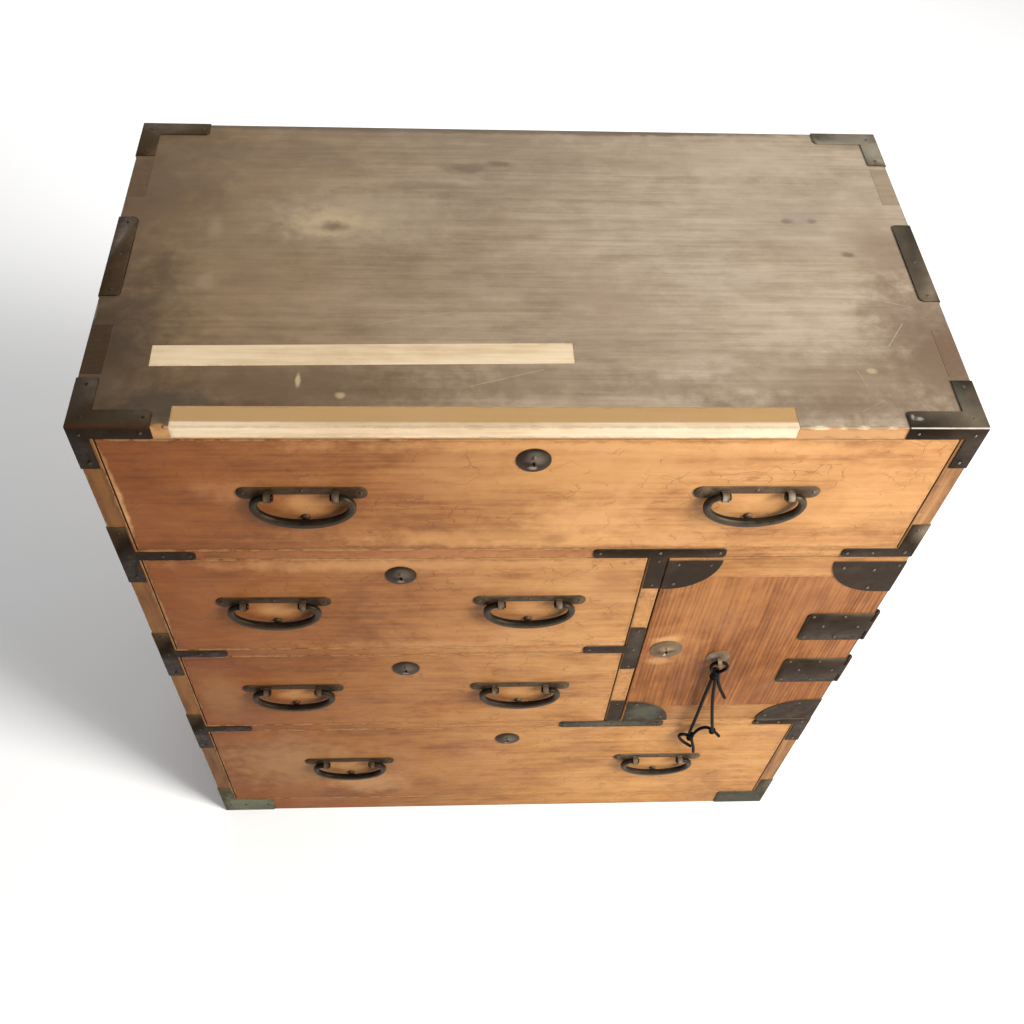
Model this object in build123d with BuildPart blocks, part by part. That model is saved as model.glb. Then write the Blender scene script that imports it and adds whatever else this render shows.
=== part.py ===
from build123d import *

import math
import os
from dataclasses import dataclass

# Clothing chest with four drawers and a hinged door, in millimetres.
# X runs to the right and Z upwards, and the front faces -Y. The origin lies on the floor, under the
# middle of the whole chest with its ironwork.

# --- Case ---------------------------------------------------------------------------------------
CASE_W = 850.0  # over the side boards
CASE_D = 460.0  # front to back, without the iron
CASE_H = 910.0  # floor to the face of the top board
SIDE_T = 20.0
TOP_T = 16.0
FINGERS = 7  # fingers of each top corner joint, counted over the depth
BACK_T = 9.0
BACK_LAP = 8.0  # width of the rebate that takes the back planks
BACK_LIFT = 2.0  # the back planks end this far above the floor
BACK_PLANKS = 4
PLANK_GAP = 0.3
SHELF_T = 12.0
HOUSING = 6.0  # depth of the grooves that carry the shelves
RAIL_H = 16.0
RAIL_D = 22.0
BASE_RAIL_H = 42.0
BOTTOM_BAY_H = 242.0
LOWER_BAY_H = 191.0
UPPER_BAY_H = 192.0
DIVIDER_X = 137.0  # its left face
DIVIDER_T = 20.0

# --- Repairs in the top ---------------------------------------------------------------------------
TOP_STRIP_INSET = 62.0  # from the case's left end
TOP_STRIP_L = 404.0
TOP_STRIP_W = 27.5
TOP_STRIP_T = 4.0
TOP_STRIP_SETBACK = 93.0  # from the front to its middle line
TOP_STRIP_TURN = 0.86  # degrees
EDGE_STRIP_INSET = 91.0
EDGE_STRIP_L = 579.0
EDGE_STRIP_W = 26.0
EDGE_STRIP_H = 14.5
CHIP_INSET = 1.0  # from the corner iron's arm
CHIP_L = 11.0
CHIP_SIZE = 3.0

# --- Drawers --------------------------------------------------------------------------------------
FRONT_T = 20.0
FRONT_GAP = 1.5  # around the front, at its ends and its top
FRONT_SILL = 1.0  # under the front
RUN_GAP = 0.5  # between the drawer's sides and its shelf
BOX_SIDE_T = 12.0
BOX_BACK_T = 10.0
BOX_BOTTOM_T = 8.0
BOX_BOTTOM_RISE = 3.0  # below the bottom board
BOX_TOP_DROP = 12.0  # the box ends this far below the front's top edge
BOX_REBATE_SHARE = 0.5  # how much of the front's thickness covers the sides' ends
BOX_GROOVE = 5.0
BOX_BACK_ROOM = 12.0  # behind a closed drawer

# --- Drawers behind the door ------------------------------------------------------------------------
INNER_SETBACK = 40.0
INNER_BOTTOM_H = 156.0
INNER_MIDDLE_H = 120.0
INNER_SHELF_T = 9.0
INNER_FRONT_T = 15.0
INNER_BOX_SIDE_T = 9.0
INNER_BOX_BOTTOM_T = 6.0
INNER_HOUSING = 4.0
KNOB_R = 8.0
KNOB_L = 9.0
KNOB_NECK_R = 4.0
KNOB_NECK_L = 4.0
KNOB_BEVEL = 1.5

# --- Door -------------------------------------------------------------------------------------------
DOOR_T = 18.0
DOOR_GAP = 2.0
DOOR_HINGE_GAP = 0.3
DOOR_BACK_GAP = 0.5
DOOR_TOP_RAIL_H = 39.0
DOOR_BOTTOM_RAIL_H = 41.0
DOOR_TONGUE_T = 6.0
DOOR_TONGUE_L = 8.0
HINGE_OUT = 3.5  # pivot to the right of the case side
KNUCKLE_R = 3.2
KNUCKLE_GAP = 0.5
DOOR_KNUCKLE_L = 20.0
PIN_R = 1.5
PIN_FIT = 0.05
PIN_HEAD_R = 2.6
PIN_HEAD_H = 1.2
LEAF_L = 79.0
LEAF_H = 61.0
LEAF_ROUND = 7.0
LEAF_UPPER_RISE = 217.0  # above the door's lower edge
LEAF_LOWER_RISE = 108.5
STRAP_T = 2.0
STRAP_W = 30.0
STRAP_RISE = 100.0  # above the door's lower edge

# --- Iron -------------------------------------------------------------------------------------------
IRON_T = 1.2
IRON_BEND = 1.0  # outer radius of the folds
IRON_TIP = 5.0  # rounding of the free ends
TOP_IRON_ARM = 75.0
TOP_IRON_LEG = 58.0
TOP_IRON_SIDE_ARM = 60.0
TOP_IRON_W = 20.0
TOP_IRON_DROP = 15.0
TOP_IRON_LEG_W = 17.0
EDGE_STRAP_L = 121.0
EDGE_STRAP_SETBACK = 172.0
EDGE_STRAP_DROP = 35.0
TEE_LEG_W = 18.0
TEE_ARM = 79.0
TEE_ARM_H = 14.0
TEE_RISE = 42.0
TEE_FALL = 52.0
MIDDLE_TEE_RISE = 39.0
MIDDLE_TEE_FALL = 46.0
SIDE_WRAP = 18.0
DIVIDER_IRON_ARM = 62.0
DIVIDER_IRON_LEG = 61.0
DIVIDER_IRON_SIDE_ARM = 51.0
DIVIDER_IRON_RISE = 44.0
DIVIDER_IRON_FALL = 41.0
DIVIDER_IRON_INSET = 1.0  # from the divider's left face
FOOT_ARM = 76.0
FOOT_LEG_W = 17.0
FOOT_LEG_H = 86.0
FOOT_LIFT = 1.0

# --- Locks ------------------------------------------------------------------------------------------
LOCK_R = 17.0
LOCK_DOME = 3.6
LOCK_RIM = 0.8
KEYHOLE_W = 3.0
KEYHOLE_H = 8.0
KEYHOLE_DROP = 3.0  # the keyhole's middle below the plate's
LOCK_STUD_R = 1.8
LOCK_STUD_H = 1.0
LOCK_STUD_RISE = 6.5
LOCK_CASE_L = 50.0
LOCK_CASE_H = 34.0
LOCK_CASE_T = 9.0
DOOR_LOCK_R = 20.0
DOOR_LOCK_INSET = 30.0  # from the door's left edge
DOOR_LOCK_RISE = 196.0  # above its lower edge
LOCK_CASE_BEVEL = 2.0

# --- Cord pull of the door -----------------------------------------------------------------------------
PULL_INSET = 99.0
PULL_RISE = 176.0
PULL_R = 15.0
PULL_DOME = 3.2
STAPLE_OUT = 8.5  # the eye's middle in front of the door
STAPLE_EYE_R = 5.5
STAPLE_HOLE_R = 3.2
STAPLE_W = 5.0
STAPLE_SHANK = 4.0
STAPLE_CLINCH = 20.0
CORD_D = 4.4
KNOT_END = 0.6  # share of a knot's radius at its ends
KNOT_BELLY = 0.22  # share of its height from its middle to where it narrows

# --- Handles ------------------------------------------------------------------------------------------
EYE_FIT = 0.05  # between a bail's pin and its eye
SHANK_FIT = 0.1
CLINCH_T = 1.5
REST_GAP = 0.3  # between a hanging bail and its stud
PIN_UPSET = 1.0  # how much the bail's spread pin ends stand over the pin
PIN_UPSET_L = 1.8
PIN_PLAY = 0.3
STUD_BELOW = 2.0  # the stud's middle below the bail's inner edge
STUD_TAPER = 24.0  # degrees
SIDE_GRIP_DROP = 150.0  # below the top
SIDE_GRIP_SHIFT = 2.0  # behind the middle of the side


@dataclass(frozen=True)
class Grip:
    """Sizes of a swinging handle: its back plate, two eye posts, bail and rest stud."""

    post: float  # from the middle to each eye
    eye_r: float
    eye_w: float
    out: float  # the pivot in front of the board
    shank: float
    clinch: float
    pin_r: float
    half: float  # half of the bail's width
    drop: float  # from the pivot to the bail's lowest point
    shoulder: float  # from the pivot down to where the bail is widest
    neck: float  # height of the bail's ends at the pins
    bar: float  # width of the bail's bar at the sides
    heel: float  # width of the bail's bar at the bottom
    thick: float
    bevel: float
    plate: float  # half of the plate's length
    plate_h: float
    waist: float
    lobe: float  # length of each full-width end of the plate
    stud_r: float


DRAWER_GRIP = Grip(
    post=33.0, eye_r=5.2, eye_w=7.0, out=7.0, shank=4.8, clinch=24.0, pin_r=2.6,
    half=52.5, drop=48.0, shoulder=14.0, neck=6.0, bar=8.0, heel=10.0, thick=8.0, bevel=2.2,
    plate=64.0, plate_h=17.5, waist=10.5, lobe=36.0, stud_r=5.0,
)  # fmt: skip
SIDE_GRIP = Grip(
    post=42.0, eye_r=6.4, eye_w=9.0, out=9.0, shank=6.0, clinch=30.0, pin_r=3.2,
    half=65.0, drop=62.0, shoulder=18.0, neck=7.0, bar=10.0, heel=12.0, thick=10.0, bevel=2.8,
    plate=80.0, plate_h=22.0, waist=13.0, lobe=44.0, stud_r=6.0,
)  # fmt: skip

# --- Derived ------------------------------------------------------------------------------------------
PULL_REACH = STAPLE_OUT + STAPLE_EYE_R
FRONT_Y = -(CASE_D + IRON_T - PULL_REACH) / 2
BACK_Y = FRONT_Y + CASE_D
HALF_W = CASE_W / 2
INNER_X = HALF_W - SIDE_T
TOP_Z = CASE_H - TOP_T
SHELF_BACK_Y = BACK_Y - BACK_T
SHELF_FRONT_Y = FRONT_Y + RAIL_D
LOWER_RAIL_Z = BASE_RAIL_H + BOTTOM_BAY_H
LOWER_BAY_Z = LOWER_RAIL_Z + RAIL_H
MIDDLE_RAIL_Z = LOWER_BAY_Z + LOWER_BAY_H
UPPER_BAY_Z = MIDDLE_RAIL_Z + RAIL_H
UPPER_RAIL_Z = UPPER_BAY_Z + UPPER_BAY_H
TOP_BAY_Z = UPPER_RAIL_Z + RAIL_H
DIVIDER_RIGHT = DIVIDER_X + DIVIDER_T
DIVIDER_TOP = TOP_BAY_Z - SHELF_T
DOOR_LEFT = DIVIDER_RIGHT + DOOR_GAP
DOOR_RIGHT = HALF_W - DOOR_HINGE_GAP
DOOR_LOW = LOWER_BAY_Z + DOOR_GAP
DOOR_HIGH = UPPER_RAIL_Z - DOOR_GAP
DOOR_BACK_Y = FRONT_Y + DOOR_T
PANEL_LOW = DOOR_LOW + DOOR_BOTTOM_RAIL_H
PANEL_HIGH = DOOR_HIGH - DOOR_TOP_RAIL_H
HINGE_X = HALF_W + HINGE_OUT
HINGE_Y = FRONT_Y + KNUCKLE_R - IRON_T  # the knuckles end flush with the leaves on the door
STRAP_Y = HINGE_Y + KNUCKLE_R - STRAP_T
DOOR_LOCK_X = DOOR_LEFT + DOOR_LOCK_INSET
DOOR_LOCK_Z = DOOR_LOW + DOOR_LOCK_RISE
PULL_X = DOOR_LEFT + PULL_INSET
PULL_Z = DOOR_LOW + PULL_RISE

FRONT = Plane.XZ.offset(-FRONT_Y)  # faces -Y, with X and Z as its axes
TOP = Plane.XY.offset(CASE_H)
RIGHT = Plane.YZ.offset(HALF_W)  # faces +X, with Y and Z as its axes


def block(x, y, z, mode=Mode.ADD):
    """Adds a box that fills the three spans to the open part, or cuts it out."""
    with Locations(((x[0] + x[1]) / 2, (y[0] + y[1]) / 2, (z[0] + z[1]) / 2)):
        Box(abs(x[1] - x[0]), abs(y[1] - y[0]), abs(z[1] - z[0]), mode=mode)


def patch(u, v, mode=Mode.ADD):
    """Adds a rectangle that fills the two spans to the open sketch."""
    with Locations(((u[0] + u[1]) / 2, (v[0] + v[1]) / 2)):
        Rectangle(abs(u[1] - u[0]), abs(v[1] - v[0]), mode=mode)


def save(shape, name):
    """Labels a finished piece and writes it as its own file."""
    shape.label = name
    export_step(shape, f"parts/{name}.step")


def group(*shapes):
    """Keeps touching solids apart in one piece."""
    return Compound(children=[solid for shape in shapes for solid in shape.solids()])


os.makedirs("parts", exist_ok=True)

# === Handles, split pins and locks ====================================================================
# Each is modelled on a board whose face is the plane y = 0 and which fills the space behind it.


def split_pin(eye_r, hole_r, width, out, shank, board_t, clinch, sunk=0.0):
    """A forged split pin: an eye in front, a shank through the board and two tips turned over."""
    tip_y = board_t - sunk
    with BuildPart() as pin:
        with BuildSketch(Plane.YZ.offset(-width / 2)):
            with Locations((-out, 0)):
                Circle(eye_r)
            patch((-out, tip_y), (-shank / 2, shank / 2))
            patch((tip_y, tip_y + CLINCH_T), (-clinch / 2, clinch / 2))
            with Locations((-out, 0)):
                Circle(hole_r, mode=Mode.SUBTRACT)
        extrude(amount=width)
    return pin.part


def pin_slot(width, out, shank, board_t, clinch=0.0):
    """What a split pin takes out of its plate and board, with a recess where its tips are let in."""
    x = (-width / 2 - SHANK_FIT, width / 2 + SHANK_FIT)
    with BuildPart() as slot:
        block(x, (-out, board_t), (-shank / 2 - SHANK_FIT, shank / 2 + SHANK_FIT))
        if clinch:
            block(x, (board_t - CLINCH_T, board_t), (-clinch / 2 - SHANK_FIT, clinch / 2 + SHANK_FIT))
    return slot.part


def grip_slots(grip, board_t, sunk=False):
    """The two holes of a handle's split pins."""
    with BuildPart() as slots:
        with Locations((-grip.post, 0, 0), (grip.post, 0, 0)):
            add(pin_slot(grip.eye_w, grip.out, grip.shank, board_t, grip.clinch if sunk else 0.0))
    return slots.part


def grip_fixings(grip, board_t, sunk=0.0):
    """The fixed pieces of a handle: back plate, two split pins and the stud that the bail rests on."""
    high = grip.plate_h / 2
    lobe_x = grip.plate - grip.lobe / 2
    with BuildPart() as plate:
        with BuildSketch(Plane.XZ):
            with Locations((-lobe_x, 0), (lobe_x, 0)):
                SlotOverall(grip.lobe, grip.plate_h)
            patch((-lobe_x, lobe_x), (high - grip.waist, high))
        extrude(amount=IRON_T)
        add(grip_slots(grip, board_t), mode=Mode.SUBTRACT)
    eye = split_pin(
        grip.eye_r, grip.pin_r + EYE_FIT, grip.eye_w, grip.out, grip.shank, board_t, grip.clinch, sunk
    )
    with BuildPart() as stud:
        with BuildSketch(Plane.XZ):
            with Locations((0, grip.heel - grip.drop - STUD_BELOW)):
                Circle(grip.stud_r)
        extrude(amount=grip.out - grip.thick / 2 - REST_GAP, taper=STUD_TAPER)
    pins = [eye.moved(Location((side * grip.post, 0, 0))) for side in (-1, 1)]
    return group(plate.part, *pins, stud.part)


def grip_bail(grip):
    """A forged bail hanging in its two eyes: bevelled bar, pins turned inwards and their spread ends."""
    end_x = grip.post + grip.eye_w / 2 + PIN_PLAY
    upset_x = grip.post - grip.eye_w / 2 - PIN_PLAY
    level = -grip.shoulder
    with BuildPart() as bail:
        with BuildSketch(Plane.XZ.offset(grip.out)):
            with BuildLine():
                low_rise = grip.drop - grip.shoulder
                EllipticalCenterArc((0, level), grip.half, low_rise, 270, arc_size=90)
                high_rise = grip.shoulder + grip.neck / 2
                EllipticalCenterArc((end_x, level), grip.half - end_x, high_rise, 0, arc_size=90)
                Line((end_x, grip.neck / 2), (end_x, -grip.neck / 2))
                inner = grip.half - grip.bar
                high_rise = grip.shoulder - grip.neck / 2
                EllipticalCenterArc((end_x, level), inner - end_x, high_rise, 0, arc_size=90)
                EllipticalCenterArc((0, level), inner, low_rise - grip.heel, 270, arc_size=90)
                Line((0, grip.heel - grip.drop), (0, -grip.drop))
            make_face()
            mirror(about=Plane.YZ)
        extrude(amount=grip.thick / 2, both=True)
        chamfer(bail.edges().filter_by(GeomType.ELLIPSE), length=grip.bevel)
        for side in (-1, 1):
            with BuildSketch(Plane.YZ.offset(side * (end_x + grip.bevel))):
                with Locations((-grip.out, 0)):
                    Circle(grip.pin_r)
            extrude(amount=-side * (end_x + grip.bevel - upset_x + PIN_UPSET_L))
            with BuildSketch(Plane.YZ.offset(side * upset_x)):
                with Locations((-grip.out, 0)):
                    Circle(grip.pin_r + PIN_UPSET)
            extrude(amount=-side * PIN_UPSET_L)
    return bail.part


def keyhole(board_t):
    """The keyhole: a slot through the lock's plate and its board."""
    with BuildPart() as hole:
        with BuildSketch(Plane.XZ.offset(LOCK_DOME)):
            with Locations((0, -KEYHOLE_DROP)):
                SlotOverall(KEYHOLE_H, KEYHOLE_W, rotation=90)
        extrude(amount=-(LOCK_DOME + board_t))
    return hole.part


def domed_disc(radius, rim, rise):
    """A disc on the board's face with a low round dome."""
    with BuildPart() as disc:
        with BuildSketch(Plane.YZ):
            with BuildLine():
                Polyline((-rise, 0), (0, 0), (0, radius), (-rim, radius))
                TangentArc((-rise, 0), (-rim, radius), tangent=(0, 1))
            make_face()
        revolve(axis=Axis.Y)
    return disc.part


def lock(radius, board_t):
    """A lock: domed plate with its keyhole and stud in front, case on the back of the board."""
    with BuildPart() as plate:
        add(domed_disc(radius, LOCK_RIM, LOCK_DOME))
        with BuildSketch(Plane.XZ):
            with Locations((0, LOCK_STUD_RISE)):
                Circle(LOCK_STUD_R)
        extrude(amount=LOCK_DOME + LOCK_STUD_H)
        add(keyhole(board_t), mode=Mode.SUBTRACT)
    with BuildPart() as case:
        block(
            (-LOCK_CASE_L / 2, LOCK_CASE_L / 2),
            (board_t, board_t + LOCK_CASE_T),
            (-LOCK_CASE_H / 2, LOCK_CASE_H / 2),
        )
        chamfer(case.edges().group_by(Axis.Y)[-1], length=LOCK_CASE_BEVEL)
    return group(plate.part, case.part)


def on_front(shape, x, z):
    """Places what was modelled on y = 0 on the chest's front."""
    return shape.moved(Location((x, FRONT_Y, z)))


def on_side(shape, side):
    """Places what was modelled on y = 0 on one side board, at the lifting handle's middle."""
    middle = (side * HALF_W, (FRONT_Y + BACK_Y) / 2 + SIDE_GRIP_SHIFT, CASE_H - SIDE_GRIP_DROP)
    return shape.moved(Location(middle, (0, 0, side * 90)))


# === Case boards ======================================================================================

SHELVES = {
    "bottom": (BASE_RAIL_H - SHELF_T, BASE_RAIL_H),
    "lower": (LOWER_BAY_Z - SHELF_T, LOWER_BAY_Z),
    "middle": (UPPER_BAY_Z - SHELF_T, UPPER_BAY_Z),
    "upper": (TOP_BAY_Z - SHELF_T, TOP_BAY_Z),
}
FINGER = CASE_D / FINGERS
INNER_LOW_SHELF = (LOWER_BAY_Z + INNER_BOTTOM_H, LOWER_BAY_Z + INNER_BOTTOM_H + INNER_SHELF_T)
INNER_HIGH_SHELF = (INNER_LOW_SHELF[1] + INNER_MIDDLE_H, INNER_LOW_SHELF[1] + INNER_MIDDLE_H + INNER_SHELF_T)
INNER_SHELVES = (INNER_LOW_SHELF, INNER_HIGH_SHELF)
INNER_SHELF_Y = (FRONT_Y + INNER_SETBACK, SHELF_BACK_Y)


def finger_span(index):
    """Y span of one finger of the top corner joints, counted from the front."""
    return (FRONT_Y + index * FINGER, FRONT_Y + (index + 1) * FINGER)


def side_board(sign, shelves):
    """One side board: fingers on top, a rebate for the back planks and grooves for its shelves."""
    with BuildPart() as board:
        block((sign * INNER_X, sign * HALF_W), (FRONT_Y, BACK_Y), (0, TOP_Z))
        for index in range(1, FINGERS, 2):
            block((sign * INNER_X, sign * HALF_W), finger_span(index), (TOP_Z, CASE_H))
        lap = (sign * INNER_X, sign * (INNER_X + BACK_LAP))
        block(lap, (SHELF_BACK_Y, BACK_Y), (0, TOP_Z), mode=Mode.SUBTRACT)
        groove = (sign * INNER_X, sign * (INNER_X + HOUSING))
        for name in shelves:
            block(groove, (SHELF_FRONT_Y, SHELF_BACK_Y), SHELVES[name], mode=Mode.SUBTRACT)
        add(on_side(grip_slots(SIDE_GRIP, SIDE_T, sunk=True), sign), mode=Mode.SUBTRACT)
    return board.part


save(side_board(-1, ("bottom", "lower", "middle", "upper")), "case_side_left")

with BuildPart() as case_side_right:
    add(side_board(1, ("bottom", "lower", "upper")))
    # The front edge stands back where the door closes over it.
    block(
        (INNER_X, HALF_W),
        (FRONT_Y, DOOR_BACK_Y + DOOR_BACK_GAP),
        (LOWER_BAY_Z, UPPER_RAIL_Z),
        mode=Mode.SUBTRACT,
    )
    for shelf_z in INNER_SHELVES:
        block((INNER_X, INNER_X + INNER_HOUSING), INNER_SHELF_Y, shelf_z, mode=Mode.SUBTRACT)
save(case_side_right.part, "case_side_right")

with BuildPart() as top_repair_strip:
    with BuildSketch(TOP) as strip_face:
        strip_x = TOP_STRIP_INSET + TOP_STRIP_L / 2 - HALF_W
        with Locations((strip_x, FRONT_Y + TOP_STRIP_SETBACK)):
            Rectangle(TOP_STRIP_L, TOP_STRIP_W, rotation=TOP_STRIP_TURN)
    extrude(amount=-TOP_STRIP_T)
save(top_repair_strip.part, "top_repair_strip")

with BuildPart() as edge_repair_strip:
    strip_left = EDGE_STRIP_INSET - HALF_W
    block(
        (strip_left, strip_left + EDGE_STRIP_L),
        (FRONT_Y, FRONT_Y + EDGE_STRIP_W),
        (CASE_H - EDGE_STRIP_H, CASE_H),
    )
save(edge_repair_strip.part, "edge_repair_strip")

with BuildPart() as case_top:
    block((-HALF_W, HALF_W), (FRONT_Y, BACK_Y), (TOP_Z, CASE_H))
    for index in range(1, FINGERS, 2):
        for sign in (-1, 1):
            block((sign * INNER_X, sign * HALF_W), finger_span(index), (TOP_Z, CASE_H), mode=Mode.SUBTRACT)
    add(top_repair_strip.part, mode=Mode.SUBTRACT)
    add(edge_repair_strip.part, mode=Mode.SUBTRACT)
    # A chip off the front edge, beside the repair.
    with BuildSketch(Plane.YZ.offset(TOP_IRON_ARM + CHIP_INSET - HALF_W)):
        with BuildLine():
            Polyline(
                (FRONT_Y, CASE_H - CHIP_SIZE),
                (FRONT_Y, CASE_H),
                (FRONT_Y + CHIP_SIZE, CASE_H),
                close=True,
            )
        make_face()
    extrude(amount=CHIP_L, mode=Mode.SUBTRACT)
save(case_top.part, "case_top")

PLANK_H = (TOP_Z - BACK_LIFT - (BACK_PLANKS - 1) * PLANK_GAP) / BACK_PLANKS
with BuildPart() as case_back:
    back_x = INNER_X + BACK_LAP - PLANK_GAP
    for row in range(BACK_PLANKS):
        plank_z = BACK_LIFT + row * (PLANK_H + PLANK_GAP)
        block((-back_x, back_x), (SHELF_BACK_Y, BACK_Y), (plank_z, plank_z + PLANK_H))
save(case_back.part, "case_back")


def shelf(name, x):
    """A shelf board between the front rails and the back planks, let into what carries its ends."""
    with BuildPart() as board:
        block((x[0] - HOUSING, x[1] + HOUSING), (SHELF_FRONT_Y, SHELF_BACK_Y), SHELVES[name])
    return board.part


save(shelf("bottom", (-INNER_X, INNER_X)), "case_bottom")
save(shelf("lower", (-INNER_X, INNER_X)), "shelf_lower")
save(shelf("middle", (-INNER_X, DIVIDER_X)), "shelf_middle")
save(shelf("upper", (-INNER_X, INNER_X)), "shelf_upper")

with BuildPart() as case_divider:
    block((DIVIDER_X, DIVIDER_RIGHT), (FRONT_Y, SHELF_BACK_Y), (LOWER_BAY_Z, DIVIDER_TOP))
    block(
        (DIVIDER_X, DIVIDER_RIGHT),
        (FRONT_Y, SHELF_FRONT_Y),
        (UPPER_RAIL_Z, DIVIDER_TOP),
        mode=Mode.SUBTRACT,
    )
    block(
        (DIVIDER_X, DIVIDER_X + HOUSING),
        (SHELF_FRONT_Y, SHELF_BACK_Y),
        SHELVES["middle"],
        mode=Mode.SUBTRACT,
    )
    for shelf_z in INNER_SHELVES:
        block((DIVIDER_RIGHT - INNER_HOUSING, DIVIDER_RIGHT), INNER_SHELF_Y, shelf_z, mode=Mode.SUBTRACT)
save(case_divider.part, "case_divider")

with BuildPart() as front_rails:
    rail_y = (FRONT_Y, SHELF_FRONT_Y)
    block((-INNER_X, INNER_X), rail_y, (0, BASE_RAIL_H))
    block((-INNER_X, INNER_X), rail_y, (LOWER_RAIL_Z, LOWER_BAY_Z))
    block((-INNER_X, DIVIDER_X), rail_y, (MIDDLE_RAIL_Z, UPPER_BAY_Z))
    block((-INNER_X, INNER_X), rail_y, (UPPER_RAIL_Z, TOP_BAY_Z))
save(front_rails.part, "front_rails")

with BuildPart() as inner_shelves:
    for shelf_z in INNER_SHELVES:
        block((DIVIDER_RIGHT - INNER_HOUSING, INNER_X + INNER_HOUSING), INNER_SHELF_Y, shelf_z)
save(inner_shelves.part, "inner_shelves")

# === Ironwork of the case =============================================================================

with BuildPart() as top_corner_irons:
    outer_x = HALF_W + IRON_T
    outer_y = FRONT_Y - IRON_T
    outer_z = CASE_H + IRON_T
    # Front face: an arm along the top edge and a leg down the corner.
    with BuildSketch(FRONT):
        patch((HALF_W - TOP_IRON_ARM, outer_x), (CASE_H - TOP_IRON_DROP, outer_z))
        patch((HALF_W - TOP_IRON_LEG_W, outer_x), (CASE_H - TOP_IRON_LEG, outer_z))
    extrude(amount=IRON_T)
    # Top face: the same arm folded over, and a longer arm along the side edge.
    with BuildSketch(TOP):
        patch((HALF_W - TOP_IRON_ARM, outer_x), (outer_y, FRONT_Y + TOP_IRON_W))
        patch((HALF_W - TOP_IRON_W, outer_x), (outer_y, FRONT_Y + TOP_IRON_SIDE_ARM))
    extrude(amount=IRON_T)
    # Side face.
    with BuildSketch(RIGHT):
        patch((outer_y, FRONT_Y + TOP_IRON_SIDE_ARM), (CASE_H - TOP_IRON_DROP, outer_z))
        patch((outer_y, FRONT_Y + TOP_IRON_LEG_W), (CASE_H - TOP_IRON_LEG, outer_z))
    extrude(amount=IRON_T)
    folds = top_corner_irons.edges().group_by(Axis.X)[-1].filter_by(Axis.Z).sort_by(Axis.Y)[:1]
    folds += top_corner_irons.edges().group_by(Axis.X)[-1].filter_by(Axis.Y).sort_by(Axis.Z)[-1:]
    folds += top_corner_irons.edges().group_by(Axis.Y)[0].filter_by(Axis.X).sort_by(Axis.Z)[-1:]
    fillet(folds, radius=IRON_BEND)
    tips = top_corner_irons.edges().filter_by(Axis.Z).group_by(Axis.X)[0]
    fillet(tips.sort_by(Axis.Y)[-1], radius=IRON_TIP)
    mirror(about=Plane.XZ.offset(-(FRONT_Y + BACK_Y) / 2))
    mirror(about=Plane.YZ)
save(top_corner_irons.part, "top_corner_irons")

with BuildPart() as edge_straps:
    strap_y = (FRONT_Y + EDGE_STRAP_SETBACK, FRONT_Y + EDGE_STRAP_SETBACK + EDGE_STRAP_L)
    block((HALF_W - TOP_IRON_W, HALF_W + IRON_T), strap_y, (CASE_H, CASE_H + IRON_T))
    block((HALF_W, HALF_W + IRON_T), strap_y, (CASE_H - EDGE_STRAP_DROP, CASE_H + IRON_T))
    fillet(edge_straps.edges().group_by(Axis.X)[-1].sort_by(Axis.Z)[-1], radius=IRON_BEND)
    fillet(edge_straps.edges().filter_by(Axis.Z).group_by(Axis.X)[0], radius=IRON_TIP)
    mirror(about=Plane.YZ)
save(edge_straps.part, "edge_straps")


def edge_iron(sign, arm_z, leg_z, arm=TEE_ARM, leg_w=TEE_LEG_W):
    """An iron at one front corner: an arm along a rail, a leg along the side's edge and its fold."""
    tip_x = sign * (HALF_W - arm)
    outer = sign * (HALF_W + IRON_T)
    with BuildPart() as iron:
        with BuildSketch(FRONT) as face:
            patch((tip_x, outer), arm_z)
            patch((sign * (HALF_W - leg_w), outer), leg_z)
            ends = face.vertices().group_by(Axis.X)[0 if sign > 0 else -1]
            fillet(ends, radius=IRON_TIP)
        extrude(amount=IRON_T)
        block(
            (sign * HALF_W, outer),
            (FRONT_Y - IRON_T, FRONT_Y + SIDE_WRAP),
            (min(arm_z[0], leg_z[0]), max(arm_z[1], leg_z[1])),
        )
        corner = iron.edges().filter_by(Axis.Z).group_by(Axis.X)[-1 if sign > 0 else 0]
        fillet(corner.sort_by(Axis.Y)[0], radius=IRON_BEND)
    return iron.part


def rail_arm(rail_z):
    """Z span of an iron's arm on a rail: it ends a little below the rail's upper edge."""
    return (rail_z, rail_z + TEE_ARM_H)


rail_irons = group(
    edge_iron(-1, rail_arm(UPPER_RAIL_Z), (UPPER_RAIL_Z - TEE_RISE, TOP_BAY_Z + TEE_RISE)),
    edge_iron(-1, rail_arm(MIDDLE_RAIL_Z), (MIDDLE_RAIL_Z - MIDDLE_TEE_FALL, UPPER_BAY_Z + MIDDLE_TEE_RISE)),
    edge_iron(-1, rail_arm(LOWER_RAIL_Z), (LOWER_RAIL_Z - TEE_FALL, LOWER_BAY_Z + TEE_RISE - RAIL_H / 2)),
    edge_iron(1, (UPPER_RAIL_Z, TOP_BAY_Z - FRONT_SILL), (UPPER_RAIL_Z, TOP_BAY_Z + TEE_RISE)),
    edge_iron(1, (LOWER_RAIL_Z, LOWER_BAY_Z), (LOWER_RAIL_Z - TEE_FALL, LOWER_BAY_Z)),
)
save(rail_irons, "rail_irons")


def flat_iron(*spans):
    """A flat iron on the front, made of rectangles, with its left and right ends rounded."""
    with BuildPart() as iron:
        with BuildSketch(FRONT) as face:
            for x, z in spans:
                patch(x, z)
            columns = face.vertices().group_by(Axis.X)
            fillet(columns[0] + columns[-1], radius=IRON_TIP)
        extrude(amount=IRON_T)
    return iron.part


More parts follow.
